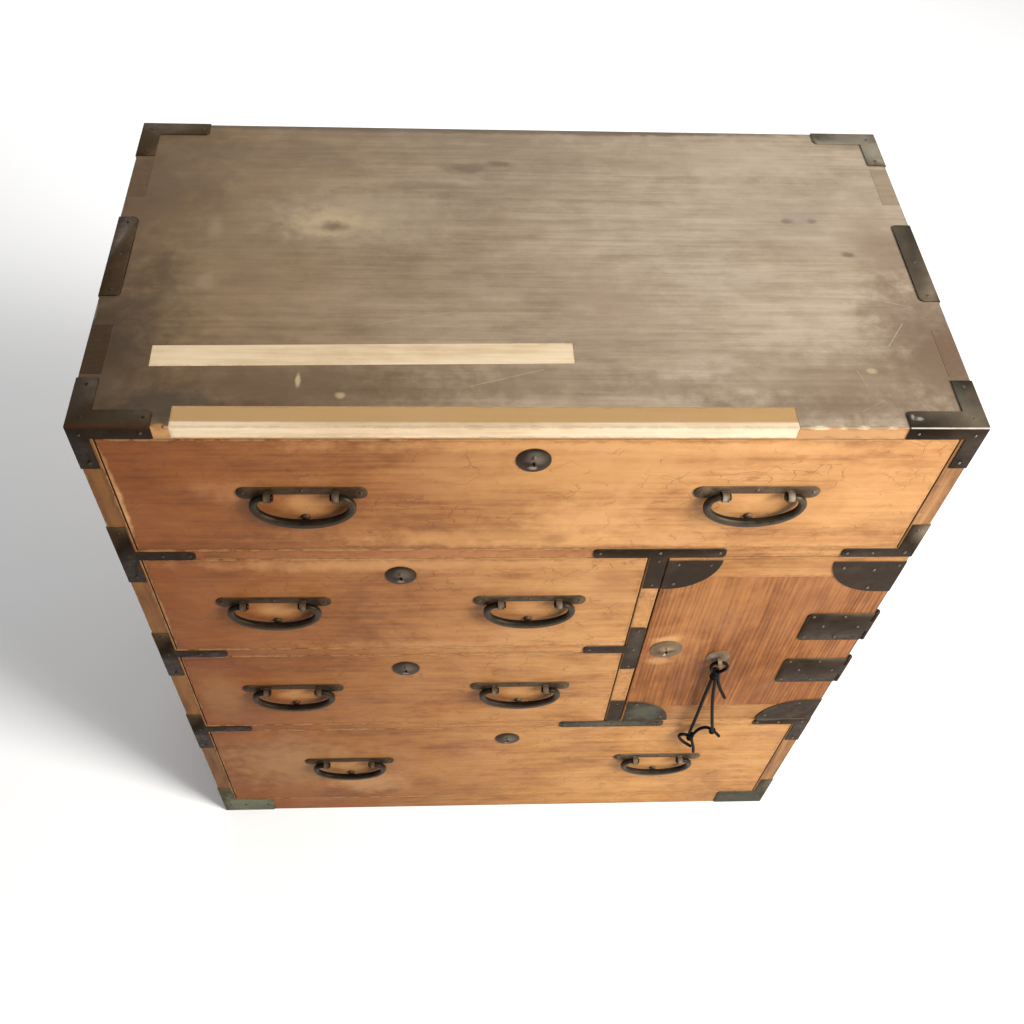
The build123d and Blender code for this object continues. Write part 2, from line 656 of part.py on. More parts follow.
divider_arm_x = (DIVIDER_X - DIVIDER_IRON_ARM, DIVIDER_RIGHT + DIVIDER_IRON_ARM)
divider_leg_x = (DIVIDER_X + DIVIDER_IRON_INSET, DIVIDER_RIGHT)
divider_irons = group(
    flat_iron(
        (divider_arm_x, (UPPER_RAIL_Z, TOP_BAY_Z)),
        (divider_leg_x, (UPPER_RAIL_Z - DIVIDER_IRON_LEG, UPPER_RAIL_Z)),
    ),
    flat_iron(
        ((DIVIDER_X - DIVIDER_IRON_SIDE_ARM, DIVIDER_RIGHT), (MIDDLE_RAIL_Z, UPPER_BAY_Z)),
        (divider_leg_x, (MIDDLE_RAIL_Z - DIVIDER_IRON_FALL, UPPER_BAY_Z + DIVIDER_IRON_RISE)),
    ),
    flat_iron(
        (divider_arm_x, (LOWER_RAIL_Z, LOWER_BAY_Z)),
        (divider_leg_x, (LOWER_BAY_Z, LOWER_BAY_Z + DIVIDER_IRON_LEG)),
    ),
)
save(divider_irons, "divider_irons")

foot_irons = group(
    edge_iron(-1, (FOOT_LIFT, BASE_RAIL_H), (FOOT_LIFT, FOOT_LEG_H), FOOT_ARM, FOOT_LEG_W),
    edge_iron(1, (FOOT_LIFT, BASE_RAIL_H), (FOOT_LIFT, FOOT_LEG_H), FOOT_ARM, FOOT_LEG_W),
)
save(foot_irons, "foot_irons")

side_handle_plates = group(
    *(on_side(grip_fixings(SIDE_GRIP, SIDE_T, sunk=CLINCH_T), side) for side in (-1, 1))
)
save(side_handle_plates, "side_handle_plates")
save(on_side(grip_bail(SIDE_GRIP), -1), "side_handle_left")
save(on_side(grip_bail(SIDE_GRIP), 1), "side_handle_right")

# === Door =============================================================================================

HINGES = (DOOR_LOW + LEAF_UPPER_RISE, DOOR_LOW + LEAF_LOWER_RISE)


def knuckle_z(leaf_z):
    """Z spans of one hinge's three knuckles: case, door, case."""
    low = leaf_z + (LEAF_H - DOOR_KNUCKLE_L) / 2
    high = low + DOOR_KNUCKLE_L
    return (leaf_z, low - KNUCKLE_GAP), (low, high), (high + KNUCKLE_GAP, leaf_z + LEAF_H)


def barrel(z, radius=KNUCKLE_R, mode=Mode.ADD):
    """Adds a round length on the hinge's axis to the open part, or cuts it out."""
    with Locations((HINGE_X, HINGE_Y, z[0])):
        Cylinder(radius, z[1] - z[0], align=(Align.CENTER, Align.CENTER, Align.MIN), mode=mode)


with BuildPart() as hinge_strap:
    block((HALF_W, HALF_W + STRAP_T), (STRAP_Y, STRAP_Y + STRAP_W), (DOOR_LOW + STRAP_RISE, DOOR_HIGH))
    for leaf_z in HINGES:
        below, door_z, above = knuckle_z(leaf_z)
        block(
            (HALF_W, HALF_W + STRAP_T),
            (STRAP_Y, HINGE_Y + KNUCKLE_R + KNUCKLE_GAP),
            (below[1], above[0]),
            mode=Mode.SUBTRACT,
        )
        for case_z in (below, above):
            block((HALF_W, HINGE_X), (STRAP_Y, STRAP_Y + STRAP_T), case_z)
            barrel(case_z)
            barrel(case_z, PIN_R + PIN_FIT, mode=Mode.SUBTRACT)
        for head_z in (leaf_z - PIN_HEAD_H, leaf_z + LEAF_H):
            barrel((head_z, head_z + PIN_HEAD_H), PIN_HEAD_R + KNUCKLE_GAP, mode=Mode.SUBTRACT)
save(hinge_strap.part, "hinge_strap")

with BuildPart() as hinge_pins:
    for leaf_z in HINGES:
        barrel((leaf_z, leaf_z + LEAF_H), PIN_R)
        barrel((leaf_z - PIN_HEAD_H, leaf_z), PIN_HEAD_R)
        barrel((leaf_z + LEAF_H, leaf_z + LEAF_H + PIN_HEAD_H), PIN_HEAD_R)
save(hinge_pins.part, "hinge_pins")

with BuildPart() as door_hinge_leaves:
    for leaf_z in HINGES:
        door_z = knuckle_z(leaf_z)[1]
        with BuildSketch(FRONT) as leaf:
            patch((DOOR_RIGHT - LEAF_L, DOOR_RIGHT), (leaf_z, leaf_z + LEAF_H))
            fillet(leaf.vertices().group_by(Axis.X)[0], radius=LEAF_ROUND)
            patch((DOOR_RIGHT, HINGE_X), door_z)
        extrude(amount=IRON_T)
        barrel(door_z)
        barrel(door_z, PIN_R + PIN_FIT, mode=Mode.SUBTRACT)
save(door_hinge_leaves.part, "door_hinge_leaves")

TONGUE_Y = (FRONT_Y + (DOOR_T - DOOR_TONGUE_T) / 2, FRONT_Y + (DOOR_T + DOOR_TONGUE_T) / 2)
STAPLE_SLOT = pin_slot(STAPLE_W, STAPLE_OUT, STAPLE_SHANK, DOOR_T)

with BuildPart() as door_panel:
    block((DOOR_LEFT, DOOR_RIGHT), (FRONT_Y, DOOR_BACK_Y), (PANEL_LOW, PANEL_HIGH))
    block((DOOR_LEFT, DOOR_RIGHT), TONGUE_Y, (PANEL_LOW - DOOR_TONGUE_L, PANEL_HIGH + DOOR_TONGUE_L))
    add(on_front(keyhole(DOOR_T), DOOR_LOCK_X, DOOR_LOCK_Z), mode=Mode.SUBTRACT)
    add(on_front(STAPLE_SLOT, PULL_X, PULL_Z), mode=Mode.SUBTRACT)
save(door_panel.part, "door_panel")

with BuildPart() as door_end_rails:
    block((DOOR_LEFT, DOOR_RIGHT), (FRONT_Y, DOOR_BACK_Y), (DOOR_LOW, PANEL_LOW))
    block((DOOR_LEFT, DOOR_RIGHT), (FRONT_Y, DOOR_BACK_Y), (PANEL_HIGH, DOOR_HIGH))
    block(
        (DOOR_LEFT, DOOR_RIGHT),
        TONGUE_Y,
        (PANEL_LOW - DOOR_TONGUE_L, PANEL_HIGH + DOOR_TONGUE_L),
        mode=Mode.SUBTRACT,
    )
save(door_end_rails.part, "door_end_rails")


def door_iron(side, end, inset_x, inset_z, length, height, straight):
    """A corner iron of the door: straight along the end edge, a quarter ellipse inside."""
    edge_x = DOOR_RIGHT - inset_x if side > 0 else DOOR_LEFT + inset_x
    edge_z = DOOR_HIGH - inset_z if end > 0 else DOOR_LOW + inset_z
    arc_x = edge_x - side * straight
    with BuildPart() as iron:
        with BuildSketch(FRONT):
            with Locations((arc_x, edge_z)):
                Ellipse(length - straight, height)
            patch((edge_x, arc_x), (edge_z, edge_z - end * height))
            patch((edge_x, edge_x - side * length), (edge_z, edge_z - end * height), mode=Mode.INTERSECT)
        extrude(amount=IRON_T)
    return iron.part


door_corner_irons = group(
    door_iron(-1, 1, inset_x=0.0, inset_z=4.5, length=60.0, height=55.5, straight=6.0),
    door_iron(1, 1, inset_x=0.0, inset_z=8.0, length=81.0, height=60.0, straight=15.0),
    door_iron(-1, -1, inset_x=3.0, inset_z=0.0, length=60.0, height=55.5, straight=5.0),
    door_iron(1, -1, inset_x=0.0, inset_z=0.0, length=79.0, height=57.0, straight=10.0),
)
save(door_corner_irons, "door_corner_irons")
save(on_front(lock(DOOR_LOCK_R, DOOR_T), DOOR_LOCK_X, DOOR_LOCK_Z), "door_lock")

with BuildPart() as rosette:
    add(domed_disc(PULL_R, LOCK_RIM, PULL_DOME))
    add(STAPLE_SLOT, mode=Mode.SUBTRACT)
staple = split_pin(
    STAPLE_EYE_R, STAPLE_HOLE_R, STAPLE_W, STAPLE_OUT, STAPLE_SHANK, DOOR_T, STAPLE_CLINCH
)
save(on_front(group(rosette.part, staple), PULL_X, PULL_Z), "door_pull")

# === Cord on the door's pull ==========================================================================
# Points are (right of the eye, in front of the door, above the eye).

CORDS = {
    "loop": (
        (-3.5, 9.0, -23.0), (-9.0, 10.5, -13.0), (-7.5, STAPLE_OUT, -0.7),
        (9.5, STAPLE_OUT, -0.7), (13.5, 10.5, -14.0), (5.0, 9.0, -24.0),
    ),
    "left strand": ((0.4, 7.0, -34.0), (-0.6, 8.0, -84.0), (0.5, 8.6, -145.0), (0.3, 8.3, -205.0)),
    "right strand": ((1.9, 11.6, -34.0), (6.8, 11.8, -72.7), (17.0, 12.0, -131.5), (29.5, 12.3, -189.5)),
    "short tail": ((5.6, 7.6, -33.0), (7.4, 8.0, -46.5), (16.5, 8.6, -72.5), (26.9, 9.0, -94.9)),
    "side tail": (
        (5.0, 10.2, -205.5), (7.3, 9.8, -196.5), (12.0, 9.0, -187.5), (20.5, 8.2, -185.0),
        (28.5, 7.7, -191.5), (37.0, 7.8, -202.5), (44.5, 8.4, -214.0),
    ),
    "low tail": ((5.4, 11.0, -216.0), (9.2, 11.4, -230.0), (13.5, 11.8, -244.0), (15.8, 11.6, -258.0)),
    "curled tail": (
        (0.4, 7.4, -213.2), (-5.6, 7.6, -206.8), (-13.2, 7.4, -211.2),
        (-9.6, 7.2, -223.5), (0.2, 7.0, -238.0), (10.8, 6.8, -249.5),
    ),
}  # fmt: skip
KNOTS = (
    # centre, radius, height
    ((0.7, 9.2, -28.3), 6.0, 17.0),
    ((3.3, 9.2, -211.8), 5.0, 14.0),
    ((30.5, 9.9, -193.0), 4.6, 9.2),
)
CORD_BEND_SHARE = 0.45  # how much of the shorter run beside a bend its arc takes


def cord_point(point):
    """A cord's point in the chest's frame."""
    return Vector(PULL_X + point[0], FRONT_Y - point[1], PULL_Z + point[2])


def cord_tube(name, points):
    """One stretch of the cord: straight runs joined by tangent arcs as large as the runs allow."""
    path = [cord_point(point) for point in points]
    radii = []
    for before, corner, after in zip(path, path[1:], path[2:]):
        shorter = min((corner - before).length, (after - corner).length)
        turn = math.radians((corner - before).get_angle(after - corner))
        radii.append(CORD_BEND_SHARE * shorter / math.tan(turn / 2))
    with BuildPart() as tube:
        with BuildLine() as line:
            FilletPolyline(*path, radius=radii)
        start = line.wire().position_at(0)
        with BuildSketch(Plane(origin=start, z_dir=line.wire().tangent_at(0))):
            Circle(CORD_D / 2)
        sweep()
    length = line.wire().length
    solid = tube.part.volume / (math.pi * CORD_D**2 / 4 * length)
    print(f"cord {name}: length {length:.1f}, volume ratio {solid:.4f}, radii {[round(r, 1) for r in radii]}")
    return tube.part


save(group(*(cord_tube(name, points) for name, points in CORDS.items())), "pull_cord")

with BuildPart() as pull_cord_knots:
    for centre, radius, height in KNOTS:
        with BuildSketch(Plane(origin=cord_point(centre), z_dir=(0, -1, 0), x_dir=(1, 0, 0))):
            with BuildLine():
                Polyline(
                    (0, -height / 2),
                    (radius * KNOT_END, -height / 2),
                    (radius, -height * KNOT_BELLY),
                    (radius, height * KNOT_BELLY),
                    (radius * KNOT_END, height / 2),
                    (0, height / 2),
                    close=True,
                )
            make_face()
        revolve(axis=Axis(cord_point(centre), (0, 0, 1)))
save(pull_cord_knots.part, "pull_cord_knots")

# === Drawers ==========================================================================================


@dataclass(frozen=True)
class Bay:
    """One drawer's opening in the case, and where its handles and lock sit."""

    left: float
    right: float
    low: float
    high: float
    left_grip: float = 0.0  # from the bay's left end
    right_grip: float = 0.0  # from its right end
    grip_rise: float = 0.0  # above the bay's middle
    lock_shift: float = 0.0  # to the right of the bay's middle
    lock_drop: float = 0.0  # below the bay's top

    @property
    def middle(self):
        """X and Z of the opening's middle."""
        return ((self.left + self.right) / 2, (self.low + self.high) / 2)

    @property
    def grips(self):
        """X and Z of the two handles' middles."""
        grip_z = self.middle[1] + self.grip_rise
        return ((self.left + self.left_grip, grip_z), (self.right - self.right_grip, grip_z))

    @property
    def lock(self):
        """X and Z of the lock's middle."""
        return (self.middle[0] + self.lock_shift, self.high - self.lock_drop)


BAYS = {
    "top": Bay(
        -INNER_X, INNER_X, TOP_BAY_Z, TOP_Z,
        left_grip=181.0, right_grip=178.0, grip_rise=9.5, lock_shift=0.0, lock_drop=30.5,
    ),
    "upper": Bay(
        -INNER_X, DIVIDER_X, UPPER_BAY_Z, UPPER_RAIL_Z,
        left_grip=129.0, right_grip=124.5, grip_rise=11.5, lock_shift=2.0, lock_drop=32.5,
    ),
    "lower": Bay(
        -INNER_X, DIVIDER_X, LOWER_BAY_Z, MIDDLE_RAIL_Z,
        left_grip=128.0, right_grip=123.5, grip_rise=11.5, lock_shift=2.0, lock_drop=35.0,
    ),
    "bottom": Bay(
        -INNER_X, INNER_X, BASE_RAIL_H, LOWER_RAIL_Z,
        left_grip=184.0, right_grip=176.0, grip_rise=17.0, lock_shift=5.0, lock_drop=36.0,
    ),
}  # fmt: skip
INNER_BAYS = {
    "top": Bay(DIVIDER_RIGHT, INNER_X, INNER_HIGH_SHELF[1], DIVIDER_TOP),
    "middle": Bay(DIVIDER_RIGHT, INNER_X, INNER_LOW_SHELF[1], INNER_HIGH_SHELF[0]),
    "bottom": Bay(DIVIDER_RIGHT, INNER_X, LOWER_BAY_Z, INNER_LOW_SHELF[0]),
}


def drawer_boards(bay, setback, front_t, side_t, bottom_t):
    """The boards of one drawer: front, then the box of two sides, back and bottom."""
    x = (bay.left + FRONT_GAP, bay.right - FRONT_GAP)
    y = (FRONT_Y + setback, SHELF_BACK_Y - BOX_BACK_ROOM)
    box_z = (bay.low + RUN_GAP, bay.high - FRONT_GAP - BOX_TOP_DROP)
    inside = (x[0] + side_t, x[1] - side_t)
    side_y = (y[0] + front_t - front_t * BOX_REBATE_SHARE, y[1])
    bottom = (
        (inside[0] - BOX_GROOVE, inside[1] + BOX_GROOVE),
        (y[0] + front_t - BOX_GROOVE, y[1]),
        (box_z[0] + BOX_BOTTOM_RISE, box_z[0] + BOX_BOTTOM_RISE + bottom_t),
    )
    with BuildPart() as front:
        block(x, (y[0], y[0] + front_t), (bay.low + FRONT_SILL, bay.high - FRONT_GAP))
        for side_x in ((x[0], inside[0]), (inside[1], x[1])):
            block(side_x, (side_y[0], y[0] + front_t), box_z, mode=Mode.SUBTRACT)
        block(*bottom, mode=Mode.SUBTRACT)
    box = []
    for side_x in ((x[0], inside[0]), (inside[1], x[1])):
        with BuildPart() as side:
            block(side_x, side_y, box_z)
            block(*bottom, mode=Mode.SUBTRACT)
        box.append(side.part)
    with BuildPart() as back:
        block(inside, (y[1] - BOX_BACK_T, y[1]), (bottom[2][1], box_z[1]))
    with BuildPart() as floor:
        block(*bottom)
    return front.part, [*box, back.part, floor.part]


for name, bay in BAYS.items():
    front_board, box_boards = drawer_boards(bay, 0.0, FRONT_T, BOX_SIDE_T, BOX_BOTTOM_T)
    with BuildPart() as drawer_front:
        add(front_board)
        for grip in bay.grips:
            add(on_front(grip_slots(DRAWER_GRIP, FRONT_T), *grip), mode=Mode.SUBTRACT)
        add(on_front(keyhole(FRONT_T), *bay.lock), mode=Mode.SUBTRACT)
    save(drawer_front.part, f"drawer_{name}_front")
    save(group(*box_boards), f"drawer_{name}_box")
    fixings = [on_front(grip_fixings(DRAWER_GRIP, FRONT_T), *grip) for grip in bay.grips]
    save(group(*fixings), f"drawer_{name}_handle_plates")
    save(on_front(lock(LOCK_R, FRONT_T), *bay.lock), f"drawer_{name}_lock")
    for side, grip in zip(("left", "right"), bay.grips):
        save(on_front(grip_bail(DRAWER_GRIP), *grip), f"drawer_{name}_bail_{side}")

for name, bay in INNER_BAYS.items():
    front_board, box_boards = drawer_boards(
        bay, INNER_SETBACK, INNER_FRONT_T, INNER_BOX_SIDE_T, INNER_BOX_BOTTOM_T
    )
    knob_y = FRONT_Y + INNER_SETBACK
    with BuildPart() as knob:
        with BuildSketch(Plane.XZ.offset(-knob_y - INNER_FRONT_T)):
            with Locations(bay.middle):
                Circle(KNOB_NECK_R)
        extrude(amount=KNOB_L + INNER_FRONT_T)
        with BuildSketch(Plane.XZ.offset(KNOB_NECK_L - knob_y)):
            with Locations(bay.middle):
                Circle(KNOB_R)
        extrude(amount=KNOB_L - KNOB_NECK_L)
        chamfer(knob.edges().filter_by(GeomType.CIRCLE).group_by(Axis.Y)[0], length=KNOB_BEVEL)
    with BuildPart() as inner_front:
        add(front_board)
        with BuildSketch(Plane.XZ.offset(-knob_y)):
            with Locations(bay.middle):
                Circle(KNOB_NECK_R + PIN_FIT)
        extrude(amount=-INNER_FRONT_T, mode=Mode.SUBTRACT)
    save(group(inner_front.part, *box_boards, knob.part), f"inner_drawer_{name}")
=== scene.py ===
import logging
import math
import random
from dataclasses import dataclass, field, replace
from enum import Enum

import bmesh
import bpy
import numpy as np
from mathutils import Matrix, Vector


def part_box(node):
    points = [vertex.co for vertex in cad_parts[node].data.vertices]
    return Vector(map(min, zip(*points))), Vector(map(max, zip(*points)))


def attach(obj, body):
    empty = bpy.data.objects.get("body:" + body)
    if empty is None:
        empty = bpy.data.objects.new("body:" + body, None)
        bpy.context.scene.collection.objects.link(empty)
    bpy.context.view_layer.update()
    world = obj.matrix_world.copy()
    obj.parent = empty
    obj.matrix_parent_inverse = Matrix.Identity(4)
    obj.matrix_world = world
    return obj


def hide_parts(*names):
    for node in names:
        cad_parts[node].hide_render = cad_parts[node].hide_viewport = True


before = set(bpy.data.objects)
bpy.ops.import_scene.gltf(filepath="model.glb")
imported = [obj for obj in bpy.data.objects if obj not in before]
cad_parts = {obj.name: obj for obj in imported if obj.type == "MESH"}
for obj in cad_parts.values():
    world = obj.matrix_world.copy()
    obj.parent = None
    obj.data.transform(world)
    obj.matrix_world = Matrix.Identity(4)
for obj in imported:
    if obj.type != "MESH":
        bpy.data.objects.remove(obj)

log = logging.getLogger("chest")

Point = tuple[float, float, float]
Pair = tuple[float, float]
Piece = bpy.types.Object
Material = bpy.types.Material
Socket = bpy.types.NodeSocket
Sockets = bpy.types.bpy_prop_collection

MM = 0.001
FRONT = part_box("front_rails")[0].y  # the plane of the case's front
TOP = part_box("case_top")[1].z
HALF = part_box("case_top")[1].x  # half the case's width
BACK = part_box("case_top")[1].y
IRON = 1.2 * MM  # thickness of the sheet iron
ORIGIN = (0.0, 0.0, 0.0)


class Facing(Enum):
    """The side of the chest that a nail is driven into."""

    FRONT = (0.0, -1.0, 0.0)
    TOP = (0.0, 0.0, 1.0)
    LEFT = (-1.0, 0.0, 0.0)
    RIGHT = (1.0, 0.0, 0.0)
    BACK = (0.0, 1.0, 0.0)


def tint(code: str) -> tuple[float, ...]:
    """Turns a display colour, of six hexadecimal digits, into the linear one that shaders read."""
    parts = [int(code[i : i + 2], 16) / 255 for i in (0, 2, 4)]
    return (*(p / 12.92 if p <= 0.04045 else ((p + 0.055) / 1.055) ** 2.4 for p in parts), 1.0)


def metres(point: Point) -> Point:
    """Turns millimetres into metres."""
    return tuple(v * MM for v in point)


# --- Node trees --------------------------------------------------------------------------------------


class Graph:
    """Adds nodes to one tree and links them as they are made."""

    def __init__(self, tree: bpy.types.NodeTree) -> None:
        """Keeps the tree that the nodes go into."""
        self.tree = tree

    def put(self, socket: Socket, value: object) -> None:
        """Links a socket to another, or sets its value.

        Args:
            socket: the input.
            value: an output socket, a number, a vector or a colour's code.
        """
        if isinstance(value, Socket):
            self.tree.links.new(value, socket)
        else:
            socket.default_value = tint(value) if socket.type == "RGBA" else value

    def node(self, kind: str, inputs: dict | None = None, **settings: object) -> bpy.types.Node:
        """Adds a node.

        Args:
            kind: Blender's name of the node's type.
            inputs: values or sockets by input name or number.
            settings: the node's own properties.

        Returns:
            The node.
        """
        made = self.tree.nodes.new(kind)
        for key, value in settings.items():
            setattr(made, key, value)
        for key, value in (inputs or {}).items():
            self.put(made.inputs[key], value)
        return made

    def math(self, operation: str, *values: object, clamp: bool = False) -> Socket:
        """Works out one number from up to three."""
        return self.node("ShaderNodeMath", dict(enumerate(values)), operation=operation, use_clamp=clamp).outputs[0]

    def vector(self, operation: str, *values: object, out: int = 0) -> Socket:
        """Works out a vector, or a number if out is 1, from up to three vectors."""
        return self.node("ShaderNodeVectorMath", dict(enumerate(values)), operation=operation).outputs[out]

    def scaled(self, vector: object, factor: object) -> Socket:
        """Scales a vector.

        Args:
            vector: the vector.
            factor: a number for all axes, or a vector with one for each.

        Returns:
            The scaled vector's socket.
        """
        if isinstance(factor, tuple):
            return self.vector("MULTIPLY", vector, factor)
        return self.node("ShaderNodeVectorMath", {0: vector, "Scale": factor}, operation="SCALE").outputs[0]

    def place(self) -> Socket:
        """Reads the point's place in the chest's frame."""
        return self.node("ShaderNodeTexCoord").outputs["Object"]

    def axes(self, vector: Socket) -> Sockets:
        """Takes a vector apart."""
        return self.node("ShaderNodeSeparateXYZ", {0: vector}).outputs

    def noise(
        self, vector: Socket, scale: float = 1.0, detail: float = 2.0, rough: float = 0.5, warp: float = 0.0,
        out: int = 0,
    ) -> Socket:
        """Adds a noise texture, read as a number or, if out is 1, as three."""
        inputs = {"Vector": vector, "Scale": scale, "Detail": detail, "Roughness": rough, "Distortion": warp}
        return self.node("ShaderNodeTexNoise", inputs).outputs[out]

    def drawn(self, vector: Socket, along: float, across: float, *fineness: float) -> Socket:
        """Adds noise that is drawn out along the first axis."""
        return self.noise(self.scaled(vector, (along, across, across)), 1.0, *fineness)

    def cells(self, vector: Socket, scale: object, feature: str = "SMOOTH_F1") -> Socket:
        """Adds a cell texture and reads the distance in its cells."""
        inputs = {"Vector": vector, "Scale": scale}
        return self.node("ShaderNodeTexVoronoi", inputs, feature=feature).outputs["Distance"]

    def span(self, value: Socket, low: object, high: object, start: object = 0.0, end: object = 1.0) -> Socket:
        """Maps the span from low to high smoothly onto start to end, and holds it outside."""
        inputs = {0: value, 1: low, 2: high, 3: start, 4: end}
        return self.node("ShaderNodeMapRange", inputs, interpolation_type="SMOOTHSTEP").outputs[0]

    def blend(self, share: object, first: object, second: object, mode: str = "MIX") -> Socket:
        """Lays the second colour over the first, as far as share says."""
        inputs = {0: share, 6: first, 7: second}
        return self.node("ShaderNodeMix", inputs, data_type="RGBA", blend_type=mode).outputs[2]

    def ramp(self, value: Socket, *stops: tuple[float, str]) -> Socket:
        """Turns a number into a colour.

        Args:
            value: the number, from 0 to 1.
            stops: places and the colours there.

        Returns:
            The colour's socket.
        """
        made = self.node("ShaderNodeValToRGB", {0: value})
        elements = made.color_ramp.elements
        while len(elements) < len(stops):
            elements.new(0.5)
        for element, (place, colour) in zip(elements, stops):
            element.position = place
            element.color = tint(colour)
        return made.outputs[0]

    def bump(self, strength: float, distance: float, height: Socket) -> Socket:
        """Turns a height into a normal."""
        return self.node("ShaderNodeBump", {"Strength": strength, "Distance": distance, "Height": height}).outputs[0]


class GroupKit:
    """The shader node groups that the finishes share, each built once."""

    made: dict[str, bpy.types.NodeTree] = {}

    @classmethod
    def start(cls, name: str, inputs: dict[str, object], *outputs: str) -> tuple[Graph, Sockets, Sockets]:
        """Makes an empty group with its sockets.

        Args:
            name: the group's name.
            inputs: the usual value of each input, by name.
            outputs: the names of the outputs, of which Grain is a vector.

        Returns:
            The group's graph, what comes into it and what goes out.
        """
        tree = bpy.data.node_groups.new(name, "ShaderNodeTree")
        for label, usual in inputs.items():
            kind = "Vector" if isinstance(usual, tuple) else "Float"
            socket = tree.interface.new_socket(name=label, in_out="INPUT", socket_type=f"NodeSocket{kind}")
            socket.default_value = usual
        for label in outputs:
            kind = "Vector" if label == "Grain" else "Float"
            tree.interface.new_socket(name=label, in_out="OUTPUT", socket_type=f"NodeSocket{kind}")
        cls.made[name] = tree
        return Graph(tree), tree.nodes.new("NodeGroupInput").outputs, tree.nodes.new("NodeGroupOutput").inputs

    @classmethod
    def place(cls, graph: Graph, name: str, inputs: dict | None = None) -> Sockets:
        """Puts a group into a material, and builds it first if it is the first time.

        Args:
            graph: the material's graph.
            name: the group's name.
            inputs: its values by input name.

        Returns:
            The group's outputs.
        """
        if name not in cls.made:
            getattr(cls, name.lower().replace(" ", "_"))()
        return graph.node("ShaderNodeGroup", inputs, node_tree=cls.made[name]).outputs

    @classmethod
    def board_place(cls) -> None:
        """Reads where a point lies in its own board: along, across and through it, and how near an edge."""
        g, _, out = cls.start("Board Place", {}, "Grain", "Edge Distance")
        place, half, seed = (
            g.node("ShaderNodeAttribute", attribute_name=name).outputs[kind]
            for name, kind in (("board", "Vector"), ("board_half", "Vector"), ("board_seed", "Fac"))
        )
        g.put(out["Grain"], g.vector("ADD", place, g.scaled((3.1, 1.7, 0.9), seed)))
        a, b, c = g.axes(g.vector("SUBTRACT", half, g.vector("ABSOLUTE", place)))
        middle = g.math("MAXIMUM", g.math("MINIMUM", a, b), g.math("MINIMUM", g.math("MAXIMUM", a, b), c))
        g.put(out["Edge Distance"], middle)

    @classmethod
    def timber_figure(cls) -> None:
        """Growth rings, fibres, slow clouds and smaller blotches of colour along a board's grain."""
        g, into, out = cls.start(
            "Timber Figure", {"Grain": ORIGIN, "Ring Pitch": 0.012, "Swirl": 1.0}, "Rings", "Fibre", "Clouds", "Mottle"
        )
        grain = into["Grain"]
        swirl = g.math("MULTIPLY", g.drawn(grain, 1.3, 7.0), into["Swirl"])
        bent = g.math("MULTIPLY_ADD", swirl, 0.2, g.axes(grain)[1])
        turns = g.math("MULTIPLY_ADD", g.drawn(grain, 2.2, 60.0), 1.6, g.math("DIVIDE", bent, into["Ring Pitch"]))
        wave = g.math("MULTIPLY_ADD", g.math("SINE", g.math("MULTIPLY", turns, math.tau)), 0.5, 0.5)
        strength = g.span(g.drawn(grain, 3.0, 30.0), 0.35, 0.65, 0.35, 1.0)
        g.put(out["Rings"], g.math("MULTIPLY", g.math("POWER", wave, 1.8), strength))
        for name, form in (
            ("Fibre", (7.0, 150.0, 5.0, 0.62)),
            ("Clouds", (5.0, 11.0, 5.0, 0.6, 0.6)),
            ("Mottle", (26.0, 44.0, 6.0, 0.72)),
        ):
            g.put(out[name], g.span(g.drawn(grain, *form), 0.3, 0.7))

    @classmethod
    def worn_edge(cls) -> None:
        """How far an edge is rubbed: 1 on the arris, fading into the board in a ragged line."""
        g, into, out = cls.start("Worn Edge", {"Edge Distance": 1.0, "Place": ORIGIN, "Width": 0.004}, "Worn")
        rough = g.noise(into["Place"], 70.0, 4.0, 0.65)
        reach = g.math("MULTIPLY", into["Width"], g.span(rough, 0.35, 0.7, 0.1, 1.7))
        g.put(out["Worn"], g.span(into["Edge Distance"], 0.0, reach, 1.0, 0.0))

    @classmethod
    def hair_cracks(cls) -> None:
        """Fine wandering cracks, broken off where the surface is sound."""
        g, into, out = cls.start("Hair Cracks", {"Place": ORIGIN, "Size": 26.0, "Amount": 0.5}, "Cracks")
        place = g.scaled(into["Place"], (0.6, 1.0, 1.0))
        moved = g.vector("ADD", place, g.scaled(g.noise(place, 34.0, 4.0, out=1), (0.03, 0.03, 0.03)))
        line = g.span(g.cells(moved, into["Size"], "DISTANCE_TO_EDGE"), 0.004, 0.03, 1.0, 0.0)
        low = g.math("SUBTRACT", 0.8, g.math("MULTIPLY", into["Amount"], 0.5))
        kept = g.span(g.noise(place, 42.0, 3.0), low, g.math("ADD", low, 0.05))
        g.put(out["Cracks"], g.math("MULTIPLY", line, kept))

    @classmethod
    def spot(cls) -> None:
        """A soft or ragged patch at one place."""
        g, into, out = cls.start(
            "Spot", {"Place": ORIGIN, "Middle": ORIGIN, "Reach": (0.02, 0.02, 0.02), "Ragged": 0.3, "Core": 0.3}, "Mask"
        )
        away = g.vector("SUBTRACT", into["Place"], into["Middle"])
        near = g.vector("LENGTH", g.vector("DIVIDE", away, into["Reach"]), out=1)
        rough = g.math("SUBTRACT", g.noise(into["Place"], 55.0, 4.0, 0.6), 0.5)
        edge = g.math("MULTIPLY_ADD", rough, g.math("MULTIPLY", into["Ragged"], 3.0), near)
        g.put(out["Mask"], g.span(edge, into["Core"], 1.0, 1.0, 0.0))

